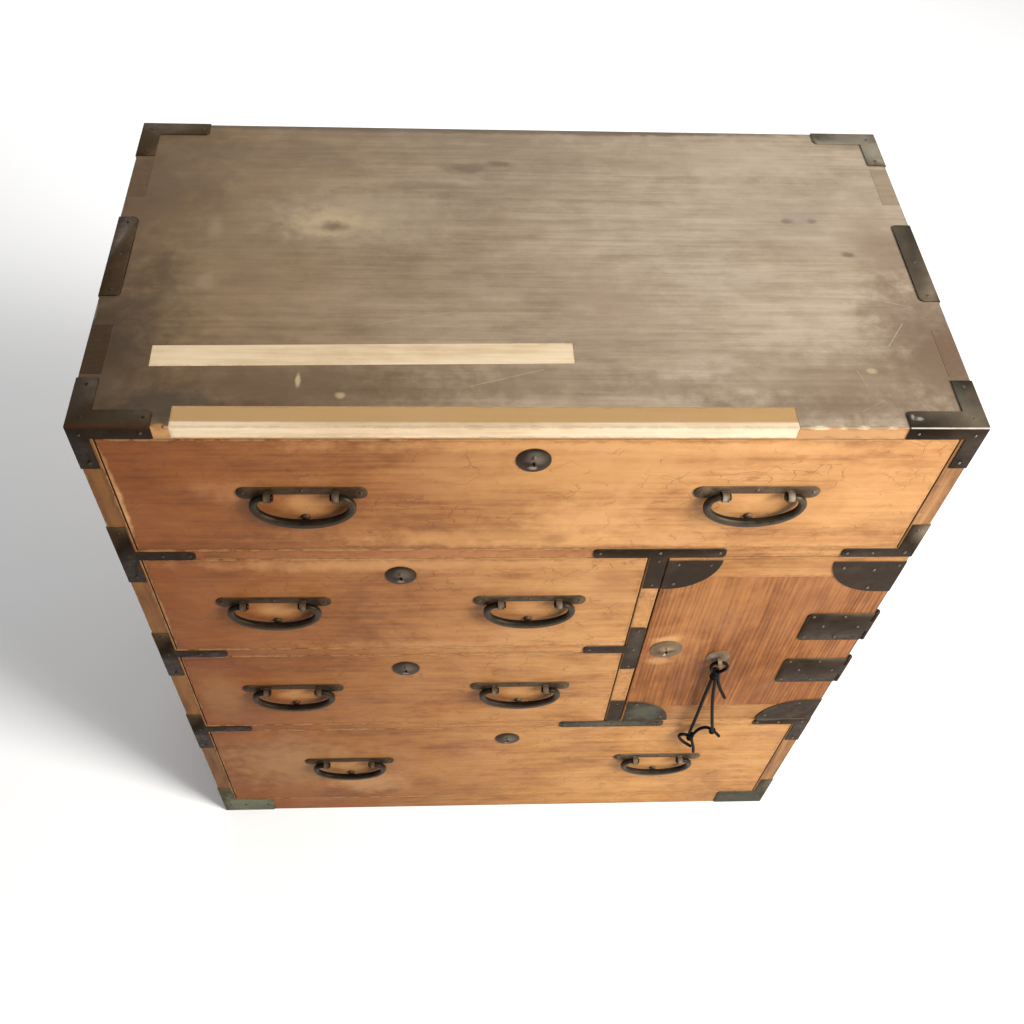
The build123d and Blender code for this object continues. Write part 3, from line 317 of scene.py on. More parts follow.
    @classmethod
    def streak(cls) -> None:
        """A scratch or line between two places."""
        g, into, out = cls.start("Streak", {"Place": ORIGIN, "Start": ORIGIN, "End": ORIGIN, "Width": 0.001}, "Mask")
        run = g.vector("SUBTRACT", into["End"], into["Start"])
        away = g.vector("SUBTRACT", into["Place"], into["Start"])
        share = g.math("DIVIDE", g.vector("DOT_PRODUCT", away, run, out=1), g.vector("DOT_PRODUCT", run, run, out=1))
        foot = g.scaled(run, g.math("MAXIMUM", g.math("MINIMUM", share, 1.0), 0.0))
        gap = g.math("SUBTRACT", g.vector("DISTANCE", away, foot, out=1), 0.0006)
        wavy = g.math("MULTIPLY_ADD", g.noise(into["Place"], 120.0), 0.0012, gap)
        g.put(out["Mask"], g.span(wavy, g.math("MULTIPLY", into["Width"], 0.3), into["Width"], 1.0, 0.0))

    @classmethod
    def forged_skin(cls) -> None:
        """The skin of hand-worked iron: shallow hammer marks, scale, and rust in patches."""
        g, into, out = cls.start(
            "Forged Skin", {"Place": ORIGIN, "Hammer": 90.0, "Rust": 0.3}, "Scale", "Height", "Rusty", "Rubbed"
        )
        place = into["Place"]
        pits = g.noise(place, 900.0, 3.0, 0.6)
        g.put(out["Height"], g.math("MULTIPLY_ADD", pits, 0.35, g.cells(place, into["Hammer"])))
        g.put(out["Scale"], g.noise(place, 140.0, 5.0, 0.65))
        low = g.math("SUBTRACT", 0.75, g.math("MULTIPLY", into["Rust"], 0.4))
        g.put(out["Rusty"], g.span(g.noise(place, 45.0, 6.0, 0.7, 0.6), low, g.math("ADD", low, 0.16)))
        g.put(out["Rubbed"], g.span(g.noise(place, 22.0, 3.0, 0.6), 0.45, 0.7))

    @classmethod
    def dry_dust(cls) -> None:
        """Dust that settles on what faces up, thicker in some places; with a black tint the same mask paints shade on
        the bails' upper faces.
        """
        g, into, out = cls.start("Dry Dust", {"Place": ORIGIN, "Amount": 0.3}, "Dust")
        up = g.axes(g.node("ShaderNodeNewGeometry").outputs["Normal"])[2]
        patch = g.span(g.noise(into["Place"], 18.0, 5.0, 0.6), 0.35, 0.75, 0.45, 1.0)
        lying = g.math("MULTIPLY", g.span(up, 0.3, 0.95), patch)
        g.put(out["Dust"], g.math("MULTIPLY", lying, into["Amount"]))


# --- Finishes -----------------------------------------------------------------------------------------


@dataclass(frozen=True)
class Mark:
    """A patch or scratch on a surface, in millimetres in the chest's frame."""

    at: Point
    reach: Point
    colour: str
    strength: float
    ragged: float = 0.4
    core: float = 0.1
    end: Point | None = None  # a scratch runs from at to here, reach[0] wide

    def paint(self, g: Graph, place: Socket, colour: Socket) -> Socket:
        """Paints the mark over a colour.

        Args:
            g: the material's graph.
            place: the point in the chest's frame.
            colour: the colour so far.

        Returns:
            The new colour's socket.
        """
        at, reach = metres(self.at), metres(self.reach)
        if self.end:
            inputs = {"Place": place, "Start": at, "End": metres(self.end), "Width": reach[0]}
            mask = GroupKit.place(g, "Streak", inputs)
        else:
            inputs = {"Place": place, "Middle": at, "Reach": reach, "Ragged": self.ragged, "Core": self.core}
            mask = GroupKit.place(g, "Spot", inputs)
        return g.blend(g.math("MULTIPLY", mask[0], self.strength), colour, self.colour)


def on_top(*rows: tuple) -> tuple[Mark, ...]:
    """Makes patches on the top, each from X, Y, two reaches and its look: colour, strength, ragged, core."""
    return tuple(Mark((x, y, 910), (wide, deep, 9), *look) for x, y, wide, deep, *look in rows)


def on_front(*rows: tuple, y: float = -223, deep: float = 9) -> tuple[Mark, ...]:
    """Makes patches on the front at a depth y, each from X, Z, two reaches and its look."""
    return tuple(Mark((x, y, z), (wide, deep, high), *look) for x, z, wide, high, *look in rows)


def scratch(start: Point, end: Point, width: float, colour: str, strength: float) -> Mark:
    """Makes a scratch between two places."""
    return Mark(start, (width, 0, 0), colour, strength, end=end)


def new_material(name: str) -> tuple[Material, Graph, Sockets]:
    """Makes a plain material.

    Args:
        name: its name.

    Returns:
        The material, its graph and its shader's inputs.
    """
    material = bpy.data.materials.new(name)
    material.use_nodes = True
    return material, Graph(material.node_tree), material.node_tree.nodes["Principled BSDF"].inputs


@dataclass(frozen=True)
class WoodFinish:
    """A wooden finish: its colours, figure, polish and marks."""

    name: str
    dark: str
    middle: str
    light: str
    worn: str
    grime: str
    pitch: float = 0.012  # of the growth rings
    swirl: float = 1.0
    rings: float = 0.1
    fibre: float = 0.4
    clouds: float = 0.5
    mottle: float = 0.2
    cracks: float = 0.0
    craze: float = 26.0  # how close the cracks lie
    wear: float = 0.0025  # width of the worn arris
    sheen: Pair = (0.42, 0.62)  # least and greatest roughness
    relief: float = 0.25
    dust: float = 0.0
    aged_and_shaded: str = "ffffff"  # the tint of the chest's darker left end: partly its age, partly painted shade where the light falls off
    low: str = "ffffff"  # the tint of its foot
    capped: bool = False  # whether its upward ends are weathered like the top
    edge: float = 0.4  # how strongly the worn colour covers the arrises
    gleam: float = 0.2
    marks: tuple[Mark, ...] = ()

    def build(self) -> Material:
        """Makes the material.

        Returns:
            The material, which reads the attributes that a board carries.
        """
        material, g, shader = new_material(self.name)
        place = g.place()
        grain, edge = GroupKit.place(g, "Board Place")
        rings, fibre, clouds, mottle = GroupKit.place(
            g, "Timber Figure", {"Grain": grain, "Ring Pitch": self.pitch, "Swirl": self.swirl}
        )
        tone: object = 0.5 - (self.fibre + self.clouds + self.mottle) / 2 + self.rings * 0.4
        for figure, share in ((fibre, self.fibre), (clouds, self.clouds), (rings, -self.rings), (mottle, self.mottle)):
            tone = g.math("MULTIPLY_ADD", figure, share, tone)
        colour = g.ramp(tone, (0.1, self.dark), (0.5, self.middle), (0.9, self.light))
        across, _, level = g.axes(place)
        bare: object = 1.0
        if self.capped:
            grey = g.ramp(g.drawn(place, 7.0, 150.0, 5.0, 0.62), (0.3, "857460"), (0.7, "9a8975"))
            cap = g.span(level, TOP - 2.4 * MM, TOP - 0.8 * MM)
            colour = g.blend(cap, colour, grey)
            bare = g.math("SUBTRACT", 1.0, cap)
        # darker towards the left end: partly age, partly painted shade of the light falling off
        colour = g.blend(g.span(across, HALF * 0.6, -HALF), colour, self.aged_and_shaded, "MULTIPLY")
        colour = g.blend(g.span(level, TOP * 0.8, 0.0), colour, self.low, "MULTIPLY")
        cracks = GroupKit.place(g, "Hair Cracks", {"Place": place, "Amount": self.cracks, "Size": self.craze})[0]
        colour = g.blend(g.math("MULTIPLY", cracks, 0.4), colour, self.grime)
        for mark in self.marks:
            colour = mark.paint(g, place, colour)
        for width, strength, cover, mode in (
            (self.wear * 2.6, 0.35, self.grime, "MULTIPLY"), (self.wear, self.edge, self.worn, "MIX"),
        ):
            rubbed = GroupKit.place(g, "Worn Edge", {"Edge Distance": edge, "Place": place, "Width": width})[0]
            share = g.math("MULTIPLY", rubbed, g.math("MULTIPLY", bare, strength))
            colour = g.blend(share, colour, cover, mode)
        if self.dust:
            dust = GroupKit.place(g, "Dry Dust", {"Place": place, "Amount": self.dust})[0]
            colour = g.blend(dust, colour, "b9ad9c")
        g.put(shader["Base Color"], colour)
        shine = g.span(g.noise(place, 12.0, 4.0, 0.6), 0.2, 0.8, *self.sheen)
        g.put(shader["Roughness"], g.math("MULTIPLY_ADD", fibre, 0.12, shine))
        g.put(shader["Specular IOR Level"], self.gleam)
        height = g.math("MULTIPLY_ADD", fibre, 0.8, g.math("MULTIPLY", rings, -0.5))
        height = g.math("MULTIPLY_ADD", cracks, -1.2, height)
        g.put(shader["Normal"], g.bump(self.relief, 0.6 * MM, height))
        return material


@dataclass(frozen=True)
class IronFinish:
    """A forged iron finish: its colours, roughness and how far it is rubbed or rusted."""

    name: str
    dark: str
    light: str
    rust: str = "4a2f1f"
    rusting: float = 0.25
    rubbed: float = 0.3
    rough: Pair = (0.38, 0.62)
    metal: float = 0.2
    hammer: float = 90.0
    relief: float = 0.35
    dust: float = 0.62
    aged_and_shaded: str = "a8988a"  # the tint of the chest's darker left end: partly its age, partly painted shade where the light falls off
    gleam: float = 0.16
    # the tint laid where dust settles; black on the bails, where it is painted shade
    dust_and_shade_tint: str = "877a67"
    marks: tuple[Mark, ...] = ()

    def build(self) -> Material:
        """Makes the material.

        Returns:
            The material.
        """
        material, g, shader = new_material(self.name)
        place = g.place()
        scale, height, rust, bare = GroupKit.place(
            g, "Forged Skin", {"Place": place, "Hammer": self.hammer, "Rust": self.rusting}
        )
        colour = g.blend(g.span(scale, 0.3, 0.7), self.dark, self.light)
        colour = g.blend(g.math("MULTIPLY", bare, self.rubbed), colour, "55493c")
        rusty = g.math("MULTIPLY", rust, 0.8)
        colour = g.blend(rusty, colour, self.rust)
        dust = GroupKit.place(g, "Dry Dust", {"Place": place, "Amount": self.dust})[0]
        # dust on what faces up; with the bails' black tint it is painted shade instead
        colour = g.blend(dust, colour, self.dust_and_shade_tint)
        for mark in self.marks:
            colour = mark.paint(g, place, colour)
        # darker towards the left end: partly age, partly painted shade of the light falling off
        colour = g.blend(g.span(g.axes(place)[0], HALF, -HALF), colour, self.aged_and_shaded, "MULTIPLY")
        g.put(shader["Base Color"], colour)
        shine = g.span(scale, 0.3, 0.7, *self.rough)
        g.put(shader["Roughness"], g.math("ADD", shine, g.math("MULTIPLY", rusty, 0.25), clamp=True))
        g.put(shader["Specular IOR Level"], self.gleam)
        g.put(shader["Specular Tint"], "e0bf9c")
        g.put(shader["Metallic"], g.math("SUBTRACT", self.metal, g.math("MULTIPLY", rusty, 0.6), clamp=True))
        g.put(shader["Normal"], g.bump(self.relief, 0.8 * MM, height))
        return material


@dataclass(frozen=True)
class CordFinish:
    """A soft dark cord with a fine plait."""

    name: str
    dark: str
    light: str

    def build(self) -> Material:
        """Makes the material.

        Returns:
            The material.
        """
        material, g, shader = new_material(self.name)
        place = g.place()
        plait = g.cells(g.scaled(place, (1.0, 1.0, 0.55)), 900.0)
        fuzz = g.noise(place, 1400.0, 3.0, 0.6)
        share = g.math("MULTIPLY_ADD", fuzz, 0.5, g.math("MULTIPLY", plait, 0.6), clamp=True)
        g.put(shader["Base Color"], g.blend(share, self.light, self.dark))
        g.put(shader["Roughness"], g.span(fuzz, 0.3, 0.7, 0.5, 0.75))
        g.put(shader["Specular IOR Level"], 0.1)
        g.put(shader["Normal"], g.bump(0.5, 0.5 * MM, plait))
        return material


TOP_STAINS_AND_SHADE = on_top(
    # the darker left end: partly stain, partly painted shade where the light falls off
    (-425, -130, 135, 210, "382612", 1.0, 0.25, 0.15),
    (-415, 110, 140, 190, "523b24", 0.8, 0.3, 0.15),
    # the soiled right end
    (405, -125, 88, 145, "695443", 0.95, 0.3),
    (385, 25, 52, 95, "7d6855", 0.7),
)
TOP_MARKS = (
    *TOP_STAINS_AND_SHADE,
    *on_top(
        (-240, -175, 270, 72, "503820", 0.75, 0.3, 0.15),
        (-290, 60, 130, 190, "745f45", 0.36, 0.35),
        (-335, 110, 26, 48, "5b452e", 0.4, 0.5),
        (-366, -16, 24, 48, "48341f", 0.5, 0.5),
        (-340, 192, 90, 34, "5d4a36", 0.4, 0.45),
        (-170, 75, 150, 75, "ab9a80", 0.4),
        (255, 180, 140, 60, "b7a794", 0.5),
        (85, -60, 75, 85, "8a7461", 0.55),
        (10, -165, 120, 36, "6f5d47", 0.55),
        (-345, -195, 80, 32, "2c2014", 0.75, 0.3),
        (-300, -207, 150, 24, "38291a", 0.55, 0.35),
        # the soiled front of the right end and the dark back edge
        (300, -200, 150, 34, "634e3d", 0.65),
        (-20, 235, 430, 10, "4b3f30", 0.75, 0.25, 0.5),
        (60, 190, 300, 40, "79684f", 0.3),
        (300, 90, 170, 110, "ab9a87", 0.3),
        (310, -165, 210, 66, "715d47", 0.6, 0.35, 0.15),
        (375, -60, 66, 60, "75604e", 0.5, 0.45),
        (-20, 224, 330, 22, "705e49", 0.4),
        (130, -172, 70, 24, "6e5a46", 0.5, 0.45),
    ),
    # the bare front edge and its rubbed specks
    Mark((0, -223.6, 902), (900, 2.2, 60), "b08152", 0.9, 0.05, 0.6),
    Mark((262, -223.6, 909.5), (13, 3.5, 2.6), "e3cba5", 0.8, 0.6, 0.2),
    Mark((286, -223.6, 909.5), (6, 3, 2.2), "dcc096", 0.6, 0.6, 0.2),
    Mark((307, -223.6, 909.5), (9, 3.5, 2.6), "e3cba5", 0.8, 0.6, 0.2),
    Mark((334, -223.6, 909.5), (7, 3, 2.2), "dcc096", 0.6, 0.6, 0.2),
    *on_top(
        # knots
        (-205, 66, 62, 34, "b7a07d", 0.6, 0.35),
        (-200, 57, 34, 8, "715a42", 0.5),
        (-200, 59, 20, 12, "5f4832", 0.7, 0.45, 0.2),
        (-60, 161, 40, 12, "5a4a38", 0.6, 0.4, 0.2),
        (-20, 171, 22, 9, "54432f", 0.6, 0.4, 0.2),
        (290, 76, 10, 7, "4b4240", 0.65, 0.3, 0.2),
        (318, 76, 8, 6, "4b4240", 0.6, 0.3, 0.2),
        (345, 21, 10, 6, "4f4540", 0.6, 0.3, 0.2),
        (305, 84, 36, 20, "8b7d6f", 0.5, 0.3, 0.3),
        # scuffs
        (-222, -164, 3.4, 13, "bda680", 0.7, 0.4, 0.3),
        (-181, -184, 7, 6, "bba27c", 0.6, 0.4, 0.2),
        (-325, -28, 16, 18, "98836a", 0.35, 0.8),
        (-324, 55, 12, 26, "937e62", 0.45, 0.5),
    ),
    # scratches, with scuffs between them
    scratch((-60, -172, 910), (10, -150, 910), 0.8, "b9a582", 0.35),
    scratch((300, -30, 910), (395, -60, 910), 0.7, "bfae98", 0.3),
    scratch((356, -116, 910), (378, -84, 910), 0.6, "c8b8a0", 0.4),
    *on_top((330, -150, 7, 5, "bba684", 0.55, 0.35, 0.2)),
    scratch((180, 12, 910), (330, -5, 910), 0.8, "b9a88e", 0.25),
    *on_top((302, -212, 5, 13, "a39078", 0.45, 0.7)),
    scratch((309, -203, 910), (334, -188, 910), 0.6, "ab9678", 0.3),
    scratch((316, -150, 910), (322, -172, 910), 0.6, "b7a283", 0.3),
    *on_top((240, -160, 22, 5, "a8977c", 0.35, 0.7)),
    scratch((-160, -90, 910), (-70, -70, 910), 0.8, "ac9a80", 0.3),
    *on_top((170, -196, 30, 10, "5e4c3a", 0.4, 0.5)),
    # the chip at the front edge's left end
    Mark((-343.5, -223, 909), (8, 5, 5), "a8713f", 0.7, 0.4, 0.4),
)
HANDLES = {
    "top": ((-224.0, 814.0), (227.0, 814.0)),
    "upper": ((-276.0, 614.5), (12.5, 614.5)),
    "lower": ((-277.0, 407.0), (13.5, 407.0)),
    "bottom": ((-221.0, 180.0), (229.0, 180.0)),
}  # X and Z of each drawer's two handles
HANDLE_SPOTS = sum(HANDLES.values(), ())
FRONT_MARKS = on_front(
    # painted light behind the handles, to lighten the shadow that the bails cast on the wood
    *((x + 3, z - 20, 36, 22, "cb9862", 0.4, 0.25, 0.2) for x, z in HANDLE_SPOTS),
    (-290, 815, 60, 30, "b07a4c", 0.35),
    (-372, 385, 44, 85, "9a7448", 0.28, 0.35, 0.2),
    (-404, 800, 7, 90, "c2925f", 0.8, 0.3, 0.3),
    (-404, 590, 5, 60, "b07f4f", 0.6, 0.35, 0.3),
    (60, 845, 130, 60, "bd8b52", 0.35),
    (330, 800, 110, 80, "bb8a54", 0.35),
    (50, 726, 230, 10, "c3905a", 0.45),
    (-60, 560, 90, 40, "a0703f", 0.25),
    (0, 737, 300, 26, "cf9c63", 0.35),
    (20, 884, 330, 13, "c8955f", 0.45),
    (260, 880, 130, 17, "d2a06a", 0.4),
    (-130, 686, 300, 18, "bb8958", 0.55),
    (-90, 513, 200, 15, "b68656", 0.45),
    (62, 772, 85, 46, "cf9c66", 0.5),
    (-190, 100, 85, 52, "b88d5c", 0.45),
    (105, 640, 44, 56, "98673a", 0.45),
    (390, 800, 50, 90, "b58550", 0.4),
    (-300, 170, 170, 120, "a88152", 0.45),
    (30, 733, 20, 14, "7c4a28", 0.45, 0.5),
    (-170, 707, 26, 6, "6b3a22", 0.5, 0.4, 0.2),
    (-60, 708, 300, 9, "8c5233", 0.45, 0.25, 0.5),
)
DOOR_MARKS = (
    *on_front((225, 600, 80, 110, "b07c4a", 0.32), (200, 500, 50, 70, "b07e4c", 0.4)),
    # a dark streak down the door beside the cord
    scratch((244, -223, 462), (250, -223, 345), 3.4, "59300f", 0.6),
    *on_front(
        (186, 521, 26, 12, "c79763", 0.7, 0.4, 0.2),
        (184, 468, 24, 14, "bd8a57", 0.6, 0.4, 0.2),
        # painted shade at the right and at the left of the door's lock
        (216, 494, 9, 26, "7a3c1c", 0.6, 0.4, 0.2),
        (164, 498, 9, 18, "7a3c1c", 0.5, 0.4, 0.2),
        (262, 440, 60, 80, "653b20", 0.25),
        (330, 600, 60, 60, "94623a", 0.3),
    ),
    # the shaded edge beside the hinges
    scratch((424.4, -223, 575), (424.4, -223, 300), 2.4, "241811", 0.9),
)
IRON_MARKS = (
    # the worn fold of the right corner iron with painted glints near its arm's end, and the rusty fold of the left
    scratch((351, -224.8, 911), (426, -224.8, 911), 1.7, "b9afa6", 0.75),
    Mark((361, -213, 911.2), (4.5, 3, 4), "d6cdbf", 0.8, 0.7, 0.2),
    Mark((355, -211, 911.2), (2, 4, 4), "d6cdbf", 0.7, 0.6, 0.2),
    scratch((-426, -224.8, 911), (-350, -224.8, 911), 2.0, "6b3d22", 0.6),
    # greenish scale on the divider's lowest iron and the door's iron beside it
    Mark((147, -225, 292), (80, 8, 14), "596050", 0.55, 0.4, 0.2),
    Mark((190, -225, 326), (40, 8, 36), "5a6152", 0.55, 0.5),
    Mark((147, -225, 500), (14, 8, 60), "4d463b", 0.4),
    # dull and dusty patches on the four corner irons, the back right one lighter with a painted highlight
    Mark((-378, -211, 911), (28, 8, 5), "4c5343", 0.55, 0.4, 0.2),
    Mark((-390, 208, 911.2), (62, 46, 6), "655e4e", 0.8, 0.35, 0.4),
    Mark((390, 208, 911.2), (62, 46, 6), "8a8273", 0.85, 0.35, 0.4),
    Mark((-405, -180, 911), (14, 22, 5), "4a5040", 0.5, 0.5, 0.2),
    Mark((405, -180, 911), (12, 20, 5), "6f7264", 0.5, 0.5, 0.2),
)
FOOT_MARKS = (Mark((-385, -225, 22), (60, 60, 60), "8b8f7a", 0.8, 0.4, 0.3),)
# the handles' split-pin eyes made lighter: rubbed iron with painted glints
EYE_MARKS = tuple(
    Mark((x + side, -231.5, z + 1.5), (4.5, 9, 4.0), "a1978a", 0.75, 0.6)
    for x, z in HANDLE_SPOTS for side in (-34.0, 34.0)
)
LOCK_MARKS = on_front(
    # painted light and shade that round out each lock: a dark rim round a lit crown, painted shade beside the keyhole
    # and a painted highlight on the keyhole's foot
    *(
        (x + right, z + up, *look)
        for x, z in ((0, 863.5), (-132, 666.5), (-132, 456), (5, 248))
        for right, up, *look in (
            (2, 4, 15, 12, "756c61", 0.9, 0.1, 0.0),
            (1, 11, 9, 4, "626a5d", 0.5, 0.2),
            (-6, -3, 5, 5, "0f0c08", 0.85, 0.15, 0.3),
            (-1, -2.4, 6, 3.4, "14100b", 0.7, 0.15, 0.3),
            (5.6, -6.6, 3.6, 4.4, "0f0c08", 0.85, 0.15, 0.3),
            (-0.6, -9, 5.4, 4.2, "a09284", 0.85, 0.25, 0.3),
        )
    ),
    y=-226, deep=12,
)
PULL_MARKS = (
    *on_front(
        # on the door's lock: a lighter top, painted shade beside the keyhole and a painted glint at its foot
        (189, 503, 14, 8, "ab9478", 0.6, 0.3),
        (180, 493, 9, 8, "4b3a28", 0.85, 0.3, 0.2),
        (195, 497, 11, 6, "4b3a28", 0.85, 0.3, 0.2),
        (188, 488, 1.8, 5, "cfc5b7", 0.85, 0.1, 0.4),
        (250, 482, 8, 9, "9a8f8b", 0.5, 0.3),
        y=-226, deep=12,
    ),
    # a painted glint on the pull's staple
    Mark((260, -233, 476), (4, 6, 4), "d9d2c8", 0.85, 0.2, 0.3),
)
STRIP_MARKS = (Mark((-44.5, -203, 911), (1000, 16, 6), "a5804f", 0.9, 0.03, 0.85),)


class Finishes:
    """All the finishes of the chest, made once and handed out by name."""

    def __init__(self) -> None:
        """Makes every material."""
        self.top = WoodFinish(
            "weathered_top", "897763", "9c8b76", "ad9c88", "ad9c84", "4a3e31", pitch=0.02, rings=0.08, clouds=0.45,
            mottle=0.36, wear=0.002, sheen=(0.42, 0.6), relief=0.2, dust=0.08, aged_and_shaded="bfab8c", gleam=0.14,
            marks=TOP_MARKS,
        ).build()
        self.front = WoodFinish(
            "oiled_front", "8f5e34", "ad7b49", "bd8d5a", "c39560", "5e3a1c", pitch=0.013, fibre=0.36, clouds=0.55,
            mottle=0.35, cracks=0.6, craze=52.0, aged_and_shaded="ac875d", low="fffce6", marks=FRONT_MARKS,
        ).build()
        self.door = WoodFinish(
            "door_plank", "613618", "804d25", "986338", "a57848", "40230f", pitch=0.0055, swirl=0.3, rings=0.34,
            fibre=0.45, clouds=0.4, mottle=0.3, wear=0.0022, marks=DOOR_MARKS, gleam=0.14, low="fffbe0",
        ).build()
        self.door_rail = WoodFinish(
            "door_rail", "80522b", "9c6b3b", "ad7c49", "bd8d59", "5e3a1c", pitch=0.013, fibre=0.36, clouds=0.55,
            mottle=0.4, cracks=0.4, craze=52.0, low="fffce6",
        ).build()
        self.side = WoodFinish(
            "case_side", "6f4726", "8c6138", "a3784a", "a97e4f", "43280f", rings=0.3, fibre=0.45, clouds=0.3,
            cracks=0.35, capped=True, aged_and_shaded="c0af94", marks=TOP_STAINS_AND_SHADE,
        ).build()
        self.inside = WoodFinish(
            "bare_inside", "917556", "aa8f6b", "bba282", "bda57b", "5c4a31", rings=0.22, fibre=0.36, clouds=0.3,
            mottle=0.08, wear=0.0012, sheen=(0.6, 0.75), dust=0.1,
        ).build()
        repair = WoodFinish(
            "pale_repair", "bfa684", "d0b997", "dcc8a8", "dcc9a9", "8f7550", pitch=0.02, wear=0.001,
            sheen=(0.45, 0.6), relief=0.15, edge=0.2,
        )
        self.repair = repair.build()
        self.edge_repair = replace(
            repair, name="pale_edge_repair", dark="b99f7e", middle="cdb697", light="d8c5a8", worn="d8c5a8",
            marks=STRIP_MARKS,
        ).build()
        self.iron = IronFinish("blackened_iron", "19120b", "2c2118", rubbed=0.22, marks=IRON_MARKS).build()
        self.green_iron = IronFinish(
            "greened_iron", "2c2b22", "4a4a3e", rust="474c3b", rusting=0.6, rough=(0.5, 0.7), aged_and_shaded="c8c8c0",
            marks=FOOT_MARKS,
        ).build()
        self.plate_iron = IronFinish(
            "plate_iron", "423324", "5f4e3d", rubbed=0.35, rough=(0.42, 0.6), marks=EYE_MARKS
        ).build()
        self.lock_iron = IronFinish(
            "lock_iron", "1d150e", "2f241b", rubbed=0.2, rough=(0.36, 0.5), gleam=0.3, marks=LOCK_MARKS
        ).build()
        # the bails' black tint darkens their upward faces: painted shade
        self.bail_iron = IronFinish(
            "handled_iron", "26221b", "3e3a30", rubbed=0.4, rough=(0.32, 0.5), metal=0.25, hammer=60.0,
            relief=0.25, dust=1.0, dust_and_shade_tint="0d0b08", gleam=0.3,
        ).build()
        # nail heads lighter than the plates: partly rubbed iron, partly painted glints
        self.nail_iron = IronFinish(
            "nail_iron", "4d473f", "766e62", rubbed=0.8, rough=(0.25, 0.4), metal=0.6, hammer=300.0, dust=0.0
        ).build()
        self.grey_iron = IronFinish(
            "rubbed_iron", "61503c", "7b674f", rubbed=0.7, rough=(0.38, 0.55), rust="6d4a28", rusting=0.4,
            marks=PULL_MARKS,
        ).build()
        self.cord = CordFinish("plaited_cord", "020202", "0b0907").build()


# --- Meshes -------------------------------------------------------------------------------------------


def add_object(name: str, data: bpy.types.ID) -> Piece:
    """Adds an object to the scene.

    Args:
        name: its name.
        data: its mesh, curve, lamp or camera.

    Returns:
        The object.
    """
    made = bpy.data.objects.new(name, data)
    bpy.context.scene.collection.objects.link(made)
    return made


def add_piece(name: str, mesh: bpy.types.Mesh, body: str, slot: str, *nodes: str) -> Piece:
    """Adds a finished mesh to the scene as a piece of the chest.

    Args:
        name: the piece's name.
        mesh: its mesh, in place.
        body: the body that it moves with.
        slot: the record's material slot; not used.
        nodes: the CAD nodes that it stands for.

    Returns:
        The piece.
    """
    piece = add_object(name, mesh)
    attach(piece, body)
    if nodes:
        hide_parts(*nodes)
    log.info("%s: %d faces on %s", name, len(mesh.polygons), body)
    return piece


def soften(shape: bmesh.types.BMesh, edges: list[bmesh.types.BMEdge], width: float, profile: float) -> None:
    """Rounds edges off in two steps.

    Args:
        shape: the mesh.
        edges: the edges.
        width: how far each rounding reaches.
        profile: its shape, 0.5 for a round one.
    """
    bmesh.ops.bevel(
        shape, geom=edges, offset=width, offset_type="OFFSET", segments=2, profile=profile, affect="EDGES",
        clamp_overlap=profile == 0.5,
    )


def closed_shells(mesh: bpy.types.Mesh) -> list[tuple[list[Vector], list[list[int]]]]:
    """Splits a mesh that comes face by face into its solids, so that touching boards stay apart.

    Args:
        mesh: the mesh, with its solids one after the other.

    Returns:
        The corners and the faces of each solid, with no corner twice.
    """
    shells = []
    corners: dict[tuple[int, ...], int] = {}
    places: list[Vector] = []
    faces: list[list[int]] = []
    loose: set[tuple[int, int]] = set()
    for polygon in mesh.polygons:
        face = []
        for number in polygon.vertices:
            place = mesh.vertices[number].co
            key = tuple(round(v * 2e5) for v in place)
            if key not in corners:
                corners[key] = len(places)
                places.append(place.copy())
            face.append(corners[key])
        if len(set(face)) < 3:
            continue
        faces.append(face)
        for edge in zip(face, face[1:] + face[:1]):
            back = (edge[1], edge[0])
            if back in loose:
                loose.remove(back)
            else:
                loose.add(edge)
        if not loose:
            shells.append((places, faces))
            corners, places, faces = {}, [], []
    if faces:
        log.warning("%s: %d faces are left over", mesh.name, len(faces))
    return shells


